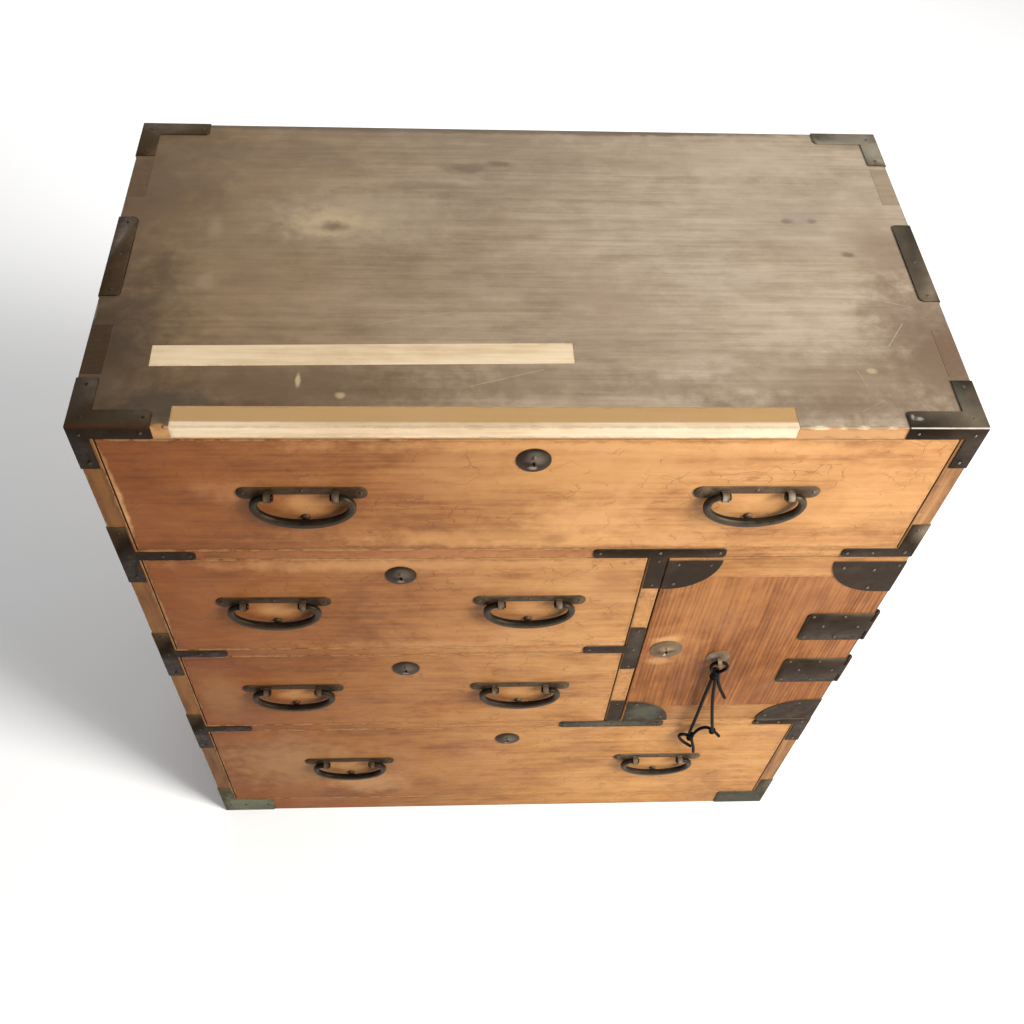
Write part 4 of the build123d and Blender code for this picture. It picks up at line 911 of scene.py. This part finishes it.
@dataclass(frozen=True)
class BoardWork:
    """One node's boards, cut again with rubbed arrises and told where they lie in their planks."""

    node: str
    body: str
    slot: str
    material: Material
    arris: float = 1.1 * MM
    shortest: float = 6 * MM  # edges shorter than this stay sharp

    def build(self) -> None:
        """Makes the boards, as the piece that stands for the node."""
        joined = bmesh.new()
        islands = []
        for corners, faces in closed_shells(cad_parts[self.node].data):
            board = bpy.data.meshes.new("board")
            board.from_pydata(corners, [], faces)
            shape = bmesh.new()
            shape.from_mesh(board)
            bmesh.ops.dissolve_limit(shape, angle_limit=0.01, verts=shape.verts, edges=shape.edges)
            edges = [
                e for e in shape.edges
                if e.is_manifold and e.is_convex and e.calc_face_angle() > 1.0 and e.calc_length() > self.shortest
            ]
            soften(shape, edges, self.arris, 0.55)
            bmesh.ops.triangulate(shape, faces=[f for f in shape.faces if len(f.verts) > 4])
            shape.to_mesh(board)
            shape.free()
            first = len(joined.verts)
            joined.from_mesh(board)
            islands.append(list(range(first, len(joined.verts))))
            bpy.data.meshes.remove(board)
        mesh = bpy.data.meshes.new(f"{self.node}_boards")
        joined.to_mesh(mesh)
        joined.free()
        self.store(mesh, islands)
        mesh.materials.append(self.material)
        add_piece(mesh.name, mesh, self.body, self.slot, self.node)

    def store(self, mesh: bpy.types.Mesh, islands: list[list[int]]) -> None:
        """Writes each vertex's place in its board, the board's half size and a number of its own.

        The fibres run along a board's longest side, and its rings cross the next longest one.

        Args:
            mesh: the boards' mesh.
            islands: the vertex numbers of each board.
        """
        points = np.array([v.co for v in mesh.vertices], np.float32)
        place = np.zeros_like(points)
        half = np.zeros_like(points)
        seed = np.zeros(len(points), np.float32)
        draw = random.Random(self.node)
        for island in islands:
            low = points[island].min(0)
            high = points[island].max(0)
            order = np.argsort(low - high)
            place[island] = (points[island] - (low + high) / 2)[:, order]
            half[island] = ((high - low) / 2)[order]
            seed[island] = draw.uniform(0.0, 10.0)
        for name, data in (("board", place), ("board_half", half)):
            mesh.attributes.new(name, "FLOAT_VECTOR", "POINT").data.foreach_set("vector", data.ravel())
        mesh.attributes.new("board_seed", "FLOAT", "POINT").data.foreach_set("value", seed)


@dataclass(frozen=True)
class IronWork:
    """One node of forged iron, with its round surfaces smoothed and, on bars, its arrises softened."""

    node: str
    body: str
    material: Material
    arris: float = 0.0
    sharp: float = math.radians(34)  # edges that turn by more than this stay sharp

    def build(self) -> None:
        """Makes the iron, as the piece that stands for the node."""
        shape = bmesh.new()
        shape.from_mesh(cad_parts[self.node].data)
        bmesh.ops.remove_doubles(shape, verts=shape.verts, dist=2e-6)
        if self.arris:
            edges = [e for e in shape.edges if e.is_manifold and 0.6 < e.calc_face_angle() < 1.2]
            soften(shape, edges, self.arris, 0.5)
        mesh = bpy.data.meshes.new(f"{self.node}_iron")
        shape.to_mesh(mesh)
        shape.free()
        mesh.shade_smooth()
        mesh.set_sharp_from_angle(angle=self.sharp)
        mesh.materials.append(self.material)
        add_piece(mesh.name, mesh, self.body, "iron", self.node)


class NailTree:
    """A Geometry Nodes tree that sets a forged nail head on each point, turned to the point's facing."""

    tree: bpy.types.NodeTree | None = None

    @classmethod
    def get(cls) -> bpy.types.NodeTree:
        """Builds the tree the first time, and returns it."""
        cls.tree = cls.tree or cls.make()
        return cls.tree

    @staticmethod
    def draw(g: Graph, seed: Socket, low: object, high: object) -> Socket:
        """Draws a number for each nail.

        Args:
            g: the tree's graph.
            seed: the seed's socket.
            low: the least number.
            high: the greatest number.

        Returns:
            The number's socket.
        """
        made = g.node("FunctionNodeRandomValue", {"Seed": seed}, data_type="FLOAT")
        for name, value in (("Min", low), ("Max", high)):
            g.put(next(s for s in made.inputs if s.name == name and s.type == "VALUE"), value)
        return next(s for s in made.outputs if s.type == "VALUE" and s.enabled)

    @classmethod
    def make(cls) -> bpy.types.NodeTree:
        """Builds the tree.

        Returns:
            A tree with the inputs Geometry, Head Radius, Head Height, Spread, Seed and Iron.
        """
        tree = bpy.data.node_groups.new("Nail Heads", "GeometryNodeTree")
        for label, kind in (
            ("Geometry", "Geometry"), ("Head Radius", "Float"), ("Head Height", "Float"), ("Spread", "Float"),
            ("Seed", "Int"), ("Iron", "Material"),
        ):
            tree.interface.new_socket(name=label, in_out="INPUT", socket_type=f"NodeSocket{kind}")
        tree.interface.new_socket(name="Geometry", in_out="OUTPUT", socket_type="NodeSocketGeometry")
        g = Graph(tree)
        into = g.node("NodeGroupInput").outputs
        head = g.node("GeometryNodeMeshUVSphere", {"Segments": 9, "Rings": 6, "Radius": into["Head Radius"]})
        ratio = g.math("DIVIDE", into["Head Height"], into["Head Radius"])
        squash = g.node("ShaderNodeCombineXYZ", {0: 1.0, 1: 1.0, 2: ratio})
        flat = g.node("GeometryNodeTransform", {"Geometry": head.outputs["Mesh"], "Scale": squash.outputs[0]})
        smooth = g.node("GeometryNodeSetShadeSmooth", {"Geometry": flat.outputs[0]})
        facing = g.node("GeometryNodeInputNamedAttribute", {"Name": "facing"}, data_type="FLOAT_VECTOR")
        turn = g.node("FunctionNodeAlignRotationToVector", {"Vector": facing.outputs[0]}, axis="Z")
        spin = cls.draw(g, into["Seed"], 0.0, math.tau)
        twist = g.node("FunctionNodeAxisAngleToRotation", {"Axis": (0.0, 0.0, 1.0), "Angle": spin})
        both = {0: turn.outputs[0], 1: twist.outputs[0]}
        rotated = g.node("FunctionNodeRotateRotation", both, rotation_space="LOCAL")
        low, high = (g.math(way, 1.0, into["Spread"]) for way in ("SUBTRACT", "ADD"))
        placed = g.node(
            "GeometryNodeInstanceOnPoints",
            {
                "Points": into["Geometry"], "Instance": smooth.outputs[0], "Rotation": rotated.outputs[0],
                "Scale": cls.draw(g, into["Seed"], low, high),
            },
        )
        real = g.node("GeometryNodeRealizeInstances", {"Geometry": placed.outputs[0]})
        dressed = g.node("GeometryNodeSetMaterial", {"Geometry": real.outputs[0], "Material": into["Iron"]})
        g.node("NodeGroupOutput", {"Geometry": dressed.outputs[0]})
        return tree


@dataclass
class Nails:
    """The nails of one body's ironwork, gathered in millimetres and then made in one go."""

    body: str
    iron: Material
    radius: float = 1.9 * MM
    height: float = 0.9 * MM
    seed: int = 3
    spots: list[tuple[Point, Facing]] = field(default_factory=list)

    def front(self, *spots: Pair) -> None:
        """Adds nails through a front iron, at X and Z."""
        self.spots += [((x * MM, FRONT - IRON, z * MM), Facing.FRONT) for x, z in spots]

    def top(self, *spots: Pair) -> None:
        """Adds nails through a top iron, at X and the distance behind the front."""
        self.spots += [((x * MM, FRONT + y * MM, TOP + IRON), Facing.TOP) for x, y in spots]

    def side(self, sign: int, *spots: Pair, out: float = IRON) -> None:
        """Adds nails through an iron on one side, 1 for the right, at the distance behind the front and Z."""
        facing = Facing.RIGHT if sign > 0 else Facing.LEFT
        self.spots += [((sign * (HALF + out), FRONT + y * MM, z * MM), facing) for y, z in spots]

    def back(self, *spots: Pair) -> None:
        """Adds nails through a back iron, at X and Z."""
        self.spots += [((x * MM, BACK + IRON, z * MM), Facing.BACK) for x, z in spots]

    def build(self, name: str) -> None:
        """Makes the nails' heads.

        Args:
            name: the piece's name.
        """
        mesh = bpy.data.meshes.new(f"{name}_points")
        mesh.from_pydata([spot for spot, _ in self.spots], [], [])
        layer = mesh.attributes.new("facing", "FLOAT_VECTOR", "POINT")
        layer.data.foreach_set("vector", [v for _, facing in self.spots for v in facing.value])
        holder = add_object(mesh.name, mesh)
        modifier = holder.modifiers.new("Heads", "NODES")
        modifier.node_group = NailTree.get()
        values = {
            "Head Radius": self.radius, "Head Height": self.height, "Spread": 0.15, "Seed": self.seed,
            "Iron": self.iron,
        }
        for item in modifier.node_group.interface.items_tree:
            if item.in_out == "INPUT" and item.name in values:
                modifier[item.identifier] = values[item.name]
        bpy.context.view_layer.update()
        graph = bpy.context.evaluated_depsgraph_get()
        made = bpy.data.meshes.new_from_object(holder.evaluated_get(graph), depsgraph=graph)
        holder.modifiers.clear()
        bpy.data.objects.remove(holder)
        made.name = name
        if not made.materials:
            made.materials.append(self.iron)
        add_piece(name, made, self.body, "iron")


# --- Sub-assemblies -----------------------------------------------------------------------------------


@dataclass
class Carcase:
    """The case: top, sides, back, shelves, divider and front rails."""

    finishes: Finishes
    arris: float = 1.1 * MM
    fine_arris: float = 0.4 * MM

    def build(self) -> None:
        """Cuts and dresses every board of the case."""
        f = self.finishes
        for slot, material, arris, *nodes in (
            ("case_wood", f.top, self.fine_arris, "case_top"),
            ("case_wood", f.side, self.fine_arris, "case_side_left", "case_side_right"),
            ("inside_wood", f.inside, self.arris, "case_back", "case_bottom", "shelf_lower", "shelf_middle"),
            ("inside_wood", f.inside, self.arris, "shelf_upper", "inner_shelves"),
            ("case_wood", f.front, self.arris, "case_divider", "front_rails"),
            ("repair_wood", f.repair, self.fine_arris, "top_repair_strip"),
            ("repair_wood", f.edge_repair, self.fine_arris, "edge_repair_strip"),
        ):
            for node in nodes:
                BoardWork(node, "case", slot, material, arris).build()


@dataclass
class CaseIrons:
    """The irons that bind the case, with their nails."""

    finishes: Finishes
    tee_tip: float = 352.0  # X of the nail in each tee's arm end
    edge_x: float = 415.5  # X of the nails down the front's edges
    inset: float = 11.0  # from a nail to the edge of the board behind it

    def build(self) -> None:
        """Dresses the irons and drives their nails."""
        f = self.finishes
        for node, material in (
            ("top_corner_irons", f.iron), ("edge_straps", f.iron), ("rail_irons", f.iron), ("divider_irons", f.iron),
            ("foot_irons", f.green_iron), ("side_handle_plates", f.plate_iron), ("hinge_strap", f.iron),
            ("hinge_pins", f.bail_iron),
        ):
            IronWork(node, "case", material).build()
        for side in ("left", "right"):
            IronWork(f"side_handle_{side}", f"side_handle_{side}", f.bail_iron, 0.6 * MM).build()
        self.nails()

    def nails(self) -> None:
        """Drives the nails of the irons on the case."""
        nails = Nails("case", self.finishes.nail_iron)
        flush = Nails("case", self.finishes.nail_iron, height=0.35 * MM, seed=5)
        x, tip, y = self.edge_x, self.tee_tip, self.inset
        depth = (BACK - FRONT) / MM
        for sign in (-1, 1):
            nails.front((sign * 360, 902.5), (sign * x, 900), (sign * x, 860))
            nails.front((sign * tip, 706), (sign * 380, 706), (sign * x, 748), (sign * x, 707))
            nails.front((sign * tip, 291), (sign * 382, 291), (sign * x, 291), (sign * x, 240))
            nails.front((sign * 358, 22), (sign * 392, 22), (sign * x, 22), (sign * x, 78))
            flush.top((sign * 357, y), (sign * 414, y), (sign * 415, 52))
            flush.top((sign * 357, depth - y), (sign * 414, depth - y), (sign * 415, depth - 52))
            flush.top((sign * 415, 180), (sign * 415, 233), (sign * 415, 285))
            flush.back((sign * 360, 902.5), (sign * x, 900), (sign * x, 860))
            for near in (9, depth - 9):
                nails.side(sign, (near, 900), (near, 860))
            nails.side(sign, (52, 903), (depth - 52, 903), (180, 880), (233, 895), (285, 880))
            nails.side(sign, (y, 22), (y, 78), (y, 291), (y, 250))
        nails.front((-x, 667), (-tip, 498), (-378, 498), (-x, 498), (-x, 540), (-x, 452), (-x, 322))
        nails.side(-1, (y, 748), (y, 670), (y, 498), (y, 540), (y, 452))
        nails.side(1, (y, 748))
        nails.front((82, 707), (147, 707.5), (212, 707), (148, 692), (147.5, 645))
        nails.front((93, 499), (147.5, 499), (147.5, 543), (147.5, 457))
        nails.front((82, 292), (147.5, 292), (212, 292), (147.5, 353))
        nails.side(1, *[(20, 412 + 54 * i) for i in range(6)], out=2.0 * MM)
        nails.build("case_nails")
        flush.build("case_flush_nails")


@dataclass
class CordRun:
    """One stretch of the door's cord, in millimetres."""

    name: str
    length: float
    far_end: str
    knots: tuple[int, ...]
    points: tuple[Point, ...]  # right of the eye, in front of the door, above the eye


@dataclass
class PullCord:
    """The knotted cord that hangs from the door's pull, in millimetres."""

    finishes: Finishes
    diameter: float = 4.4
    eye: Pair = (258.0, 478.0)
    turn_steps: int = 18  # around a knot's turn
    round_steps: int = 8  # around the cord in a knot
    knots: tuple[tuple[Point, float, float, int], ...] = (
        ((0.7, 9.2, -28.3), 6.0, 17.0, 4),
        ((3.3, 9.2, -211.8), 5.0, 14.0, 3),
        ((30.5, 9.9, -193.0), 4.6, 9.2, 2),
    )  # middle, radius, height and turns of each
    runs: tuple[CordRun, ...] = (
        CordRun(
            "loop", 63.0, "knot", (0,),
            ((-3.5, 9, -23), (-9, 10.5, -13), (-7.5, 8.5, -0.7), (9.5, 8.5, -0.7), (13.5, 10.5, -14), (5, 9, -24)),
        ),
        CordRun(
            "left_strand", 171.0, "knot", (1,), ((0.4, 7, -34), (-0.6, 8, -84), (0.5, 8.6, -145), (0.3, 8.3, -205))
        ),
        CordRun(
            "right_strand", 158.0, "knot", (2,),
            ((1.9, 11.6, -34), (6.8, 11.8, -72.7), (17, 12, -131.5), (29.5, 12.3, -189.5)),
        ),
        CordRun(
            "short_tail", 65.8, "bare", (), ((5.6, 7.6, -33), (7.4, 8, -46.5), (16.5, 8.6, -72.5), (26.9, 9, -94.9))
        ),
        CordRun(
            "side_tail", 65.2, "bare", (),
            (
                (5, 10.2, -205.5), (7.3, 9.8, -196.5), (12, 9, -187.5), (20.5, 8.2, -185), (28.5, 7.7, -191.5),
                (37, 7.8, -202.5), (44.5, 8.4, -214),
            ),
        ),
        CordRun(
            "low_tail", 43.3, "bare", (), ((5.4, 11, -216), (9.2, 11.4, -230), (13.5, 11.8, -244), (15.8, 11.6, -258))
        ),
        CordRun(
            "curled_tail", 61.0, "bare", (),
            (
                (0.4, 7.4, -213.2), (-5.6, 7.6, -206.8), (-13.2, 7.4, -211.2), (-9.6, 7.2, -223.5), (0.2, 7, -238),
                (10.8, 6.8, -249.5),
            ),
        ),
    )

    def place(self, point: Point) -> Vector:
        """Turns a point beside the eye into one in the chest's frame."""
        return Vector((self.eye[0] + point[0], FRONT / MM - point[1], self.eye[1] + point[2])) * MM

    def build(self) -> None:
        """Makes the knots and the stretches of cord between them."""
        made = [self.knot(index, *knot) for index, knot in enumerate(self.knots)]
        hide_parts("pull_cord_knots")
        for run in self.runs:
            self.run(run, [made[i] for i in run.knots])

    def run(self, run: CordRun, knots: list[Piece]) -> None:
        """Lays one stretch of cord on its own smooth curve.

        Args:
            run: the stretch.
            knots: the knots that go with it; not used.
        """
        curve = bpy.data.curves.new(f"cord_{run.name}", "CURVE")
        curve.dimensions = "3D"
        spline = curve.splines.new("NURBS")
        spline.points.add(len(run.points) - 1)
        for target, point in zip(spline.points, run.points):
            target.co = (*self.place(point), 1.0)
        spline.order_u = 3
        spline.use_endpoint_u = True
        spline.resolution_u = 16
        curve.bevel_depth = self.diameter / 2 * MM
        curve.bevel_resolution = 4
        curve.use_fill_caps = True
        curve.materials.append(self.finishes.cord)
        piece = add_object(curve.name, curve)
        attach(piece, "door")
        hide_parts("pull_cord")
        self.place(run.points[0])
        log.info("cord_%s: %.1f mm", run.name, run.length)

    def knot(self, index: int, centre: Point, radius: float, height: float, turns: int) -> Piece:
        """Winds one knot: a few tight turns of the same cord, each a little askew.

        Args:
            index: the knot's number.
            centre: its middle, beside the eye.
            radius: its outer radius.
            height: its height.
            turns: how many turns show.

        Returns:
            The knot.
        """
        shape = bmesh.new()
        draw = random.Random(20 + index)
        thick = self.diameter / 2
        ring = radius - thick
        corners = range(self.round_steps)
        for turn in range(turns):
            level = (turn + 0.5 - turns / 2) * (height - 2 * thick) / (turns - 1)
            tilt = Matrix.Rotation(math.radians(draw.uniform(14, 24)) * (1 if turn % 2 else -1), 3, "Y")
            tilt = tilt @ Matrix.Rotation(math.radians(draw.uniform(-8, 8)), 3, "X")
            rows = []
            for step in range(self.turn_steps):
                angle = math.tau * step / self.turn_steps
                out = Vector((math.cos(angle), math.sin(angle), 0.0))
                row = []
                for corner in corners:
                    lean = math.tau * corner / self.round_steps
                    rise = Vector((0, 0, thick * 0.92 * math.sin(lean)))
                    point = tilt @ (out * (ring + thick * 0.98 * math.cos(lean)) + rise)
                    point.z = max(-height / 2 - level, min(height / 2 - level, point.z)) + level
                    reach = math.hypot(point.x, point.y)
                    if reach > radius:
                        point.x *= radius / reach
                        point.y *= radius / reach
                    spot = self.place((centre[0] + point.x, centre[1] - point.y, centre[2] + point.z))
                    row.append(shape.verts.new(spot))
                rows.append(row)
            for one, two in zip(rows, rows[1:] + rows[:1]):
                for i in corners:
                    after = (i + 1) % self.round_steps
                    shape.faces.new((one[i], two[i], two[after], one[after]))
        bmesh.ops.recalc_face_normals(shape, faces=shape.faces)
        mesh = bpy.data.meshes.new(f"cord_knot_{index}")
        shape.to_mesh(mesh)
        shape.free()
        mesh.shade_smooth()
        mesh.materials.append(self.finishes.cord)
        return add_piece(mesh.name, mesh, "door", "cord")


@dataclass
class Door:
    """The hinged door: panel, end rails, irons, hinge leaves, lock, pull and cord."""

    finishes: Finishes
    leaves: Pair = (519.0, 410.5)  # Z of the hinge leaves' lower edges

    def build(self) -> None:
        """Dresses the door."""
        f = self.finishes
        BoardWork("door_panel", "door", "front_wood", f.door).build()
        BoardWork("door_end_rails", "door", "front_wood", f.door_rail).build()
        for node, material in (
            ("door_corner_irons", f.iron), ("door_hinge_leaves", f.iron), ("door_lock", f.grey_iron),
            ("door_pull", f.grey_iron),
        ):
            IronWork(node, "door", material).build()
        nails = Nails("door", f.nail_iron, seed=11)
        nails.front((171, 685), (207, 684), (171.5, 647))
        nails.front((357, 677), (392.5, 673), (396.5, 637), (418, 682))
        nails.front((174, 350), (211.5, 313), (170, 310))
        nails.front((357, 314), (396, 349), (418, 310))
        for low in self.leaves:
            nails.front((353, low + 54), (391, low + 54), (370, low + 32), (353, low + 8), (391, low + 7))
            nails.front((413, low + 31))
        nails.build("door_nails")
        PullCord(f).build()


@dataclass
class Drawer:
    """One drawer: front, box, two handles and lock."""

    name: str
    finishes: Finishes
    handles: tuple[Pair, ...]
    box_arris: float = 0.8 * MM
    bail_arris: float = 0.5 * MM
    plate_end: float = 57.5  # from a handle's middle to the nail in its plate's end, in millimetres

    def build(self) -> None:
        """Dresses the drawer."""
        f = self.finishes
        body = f"drawer_{self.name}"
        BoardWork(f"{body}_front", body, "front_wood", f.front).build()
        BoardWork(f"{body}_box", body, "inside_wood", f.inside, self.box_arris).build()
        IronWork(f"{body}_handle_plates", body, f.plate_iron).build()
        IronWork(f"{body}_lock", body, f.lock_iron).build()
        for side in ("left", "right"):
            IronWork(f"{body}_bail_{side}", f"{body}_bail_{side}", f.bail_iron, self.bail_arris).build()
        nails = Nails(body, f.nail_iron, seed=len(self.name))
        for x, z in self.handles:
            nails.front((x - self.plate_end, z), (x, z + 3.5), (x + self.plate_end, z))
        nails.build(f"{body}_nails")


@dataclass
class InnerDrawers:
    """The three small drawers behind the door."""

    finishes: Finishes
    arris: float = 0.8 * MM

    def build(self) -> None:
        """Dresses the small drawers."""
        for name in ("top", "middle", "bottom"):
            body = f"inner_drawer_{name}"
            BoardWork(body, body, "inside_wood", self.finishes.inside, self.arris).build()


@dataclass
class Studio:
    """The floor, the light and the camera."""

    eye: Point = (-0.09032, -0.87744, 1.65530)
    right: Point = (0.99862591, -0.03356868, 0.04024212)
    down: Point = (-0.00350283, -0.80894605, -0.58787245)
    ahead: Point = (0.0522878, 0.5869237, -0.80795207)
    lens: float = 38.007
    shift: Pair = (0.01604, 0.0147)
    floor_half: float = 9.0
    sky: float = 0.39  # strength of the white light from all around

    def camera(self) -> None:
        """Sets up the camera, with the whole chest in its square picture."""
        data = bpy.data.cameras.new("camera")
        data.sensor_width = 36.0
        data.lens = self.lens
        data.shift_x, data.shift_y = self.shift
        data.clip_start = 0.05
        camera = add_object("camera", data)
        turned = Matrix((self.right, [-v for v in self.down], [-v for v in self.ahead])).transposed()
        camera.matrix_world = Matrix.Translation(self.eye) @ turned.to_4x4()
        bpy.context.scene.camera = camera

    def floor(self) -> None:
        """Lays a plain pale floor."""
        mesh = bpy.data.meshes.new("floor")
        s = self.floor_half
        mesh.from_pydata([(-s, -s, 0), (s, -s, 0), (s, s, 0), (-s, s, 0)], [], [(0, 1, 2, 3)])
        material, _, shader = new_material("floor_white")
        shader["Base Color"].default_value = (0.9, 0.9, 0.9, 1.0)
        shader["Roughness"].default_value = 0.8
        mesh.materials.append(material)
        floor = add_object("floor", mesh)

    def lamp(self, name: str, at: Point, towards: Point, size: float, watts: float, colour: Point) -> None:
        """Hangs one soft light.

        Args:
            name: its name.
            at: where it hangs.
            towards: the point it is turned to.
            size: the side of its square.
            watts: its power.
            colour: its colour.
        """
        data = bpy.data.lights.new(name, "AREA")
        data.size = size
        data.energy = watts
        data.color = colour
        lamp = add_object(name, data)
        lamp.location = at
        lamp.rotation_mode = "QUATERNION"
        lamp.rotation_quaternion = (Vector(towards) - Vector(at)).to_track_quat("-Z", "Y")

    def build(self) -> None:
        """Sets up floor, light, camera and the picture's colours."""
        self.camera()
        self.floor()
        self.lamp("key", (4.1, -2.3, 3.7), (0.0, 0.0, 0.4), 1.6, 372.0, (1.0, 0.985, 0.96))
        self.lamp("side", (1.2, -1.1, 1.4), (0.1, 0.0, 0.55), 0.7, 21.0, (1.0, 0.97, 0.93))
        self.lamp("backdrop", (-0.3, 2.5, 1.5), (-0.3, 1.7, 0.0), 1.6, 26.0, (1.0, 1.0, 1.0))
        world = bpy.data.worlds.new("white")
        world.use_nodes = True
        white = world.node_tree.nodes["Background"].inputs
        white[0].default_value = (1.0, 1.0, 1.0, 1.0)
        white[1].default_value = self.sky
        bpy.context.scene.world = world
        bpy.context.scene.view_settings.view_transform = "Standard"


def main() -> None:
    """Builds the studio and the chest, piece by piece."""
    logging.basicConfig(level=logging.INFO, format="%(message)s")
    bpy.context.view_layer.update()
    Studio().build()
    finishes = Finishes()
    Carcase(finishes).build()
    CaseIrons(finishes).build()
    Door(finishes).build()
    for name, handles in HANDLES.items():
        Drawer(name, finishes, handles).build()
    InnerDrawers(finishes).build()


if __name__ == "__main__":
    main()
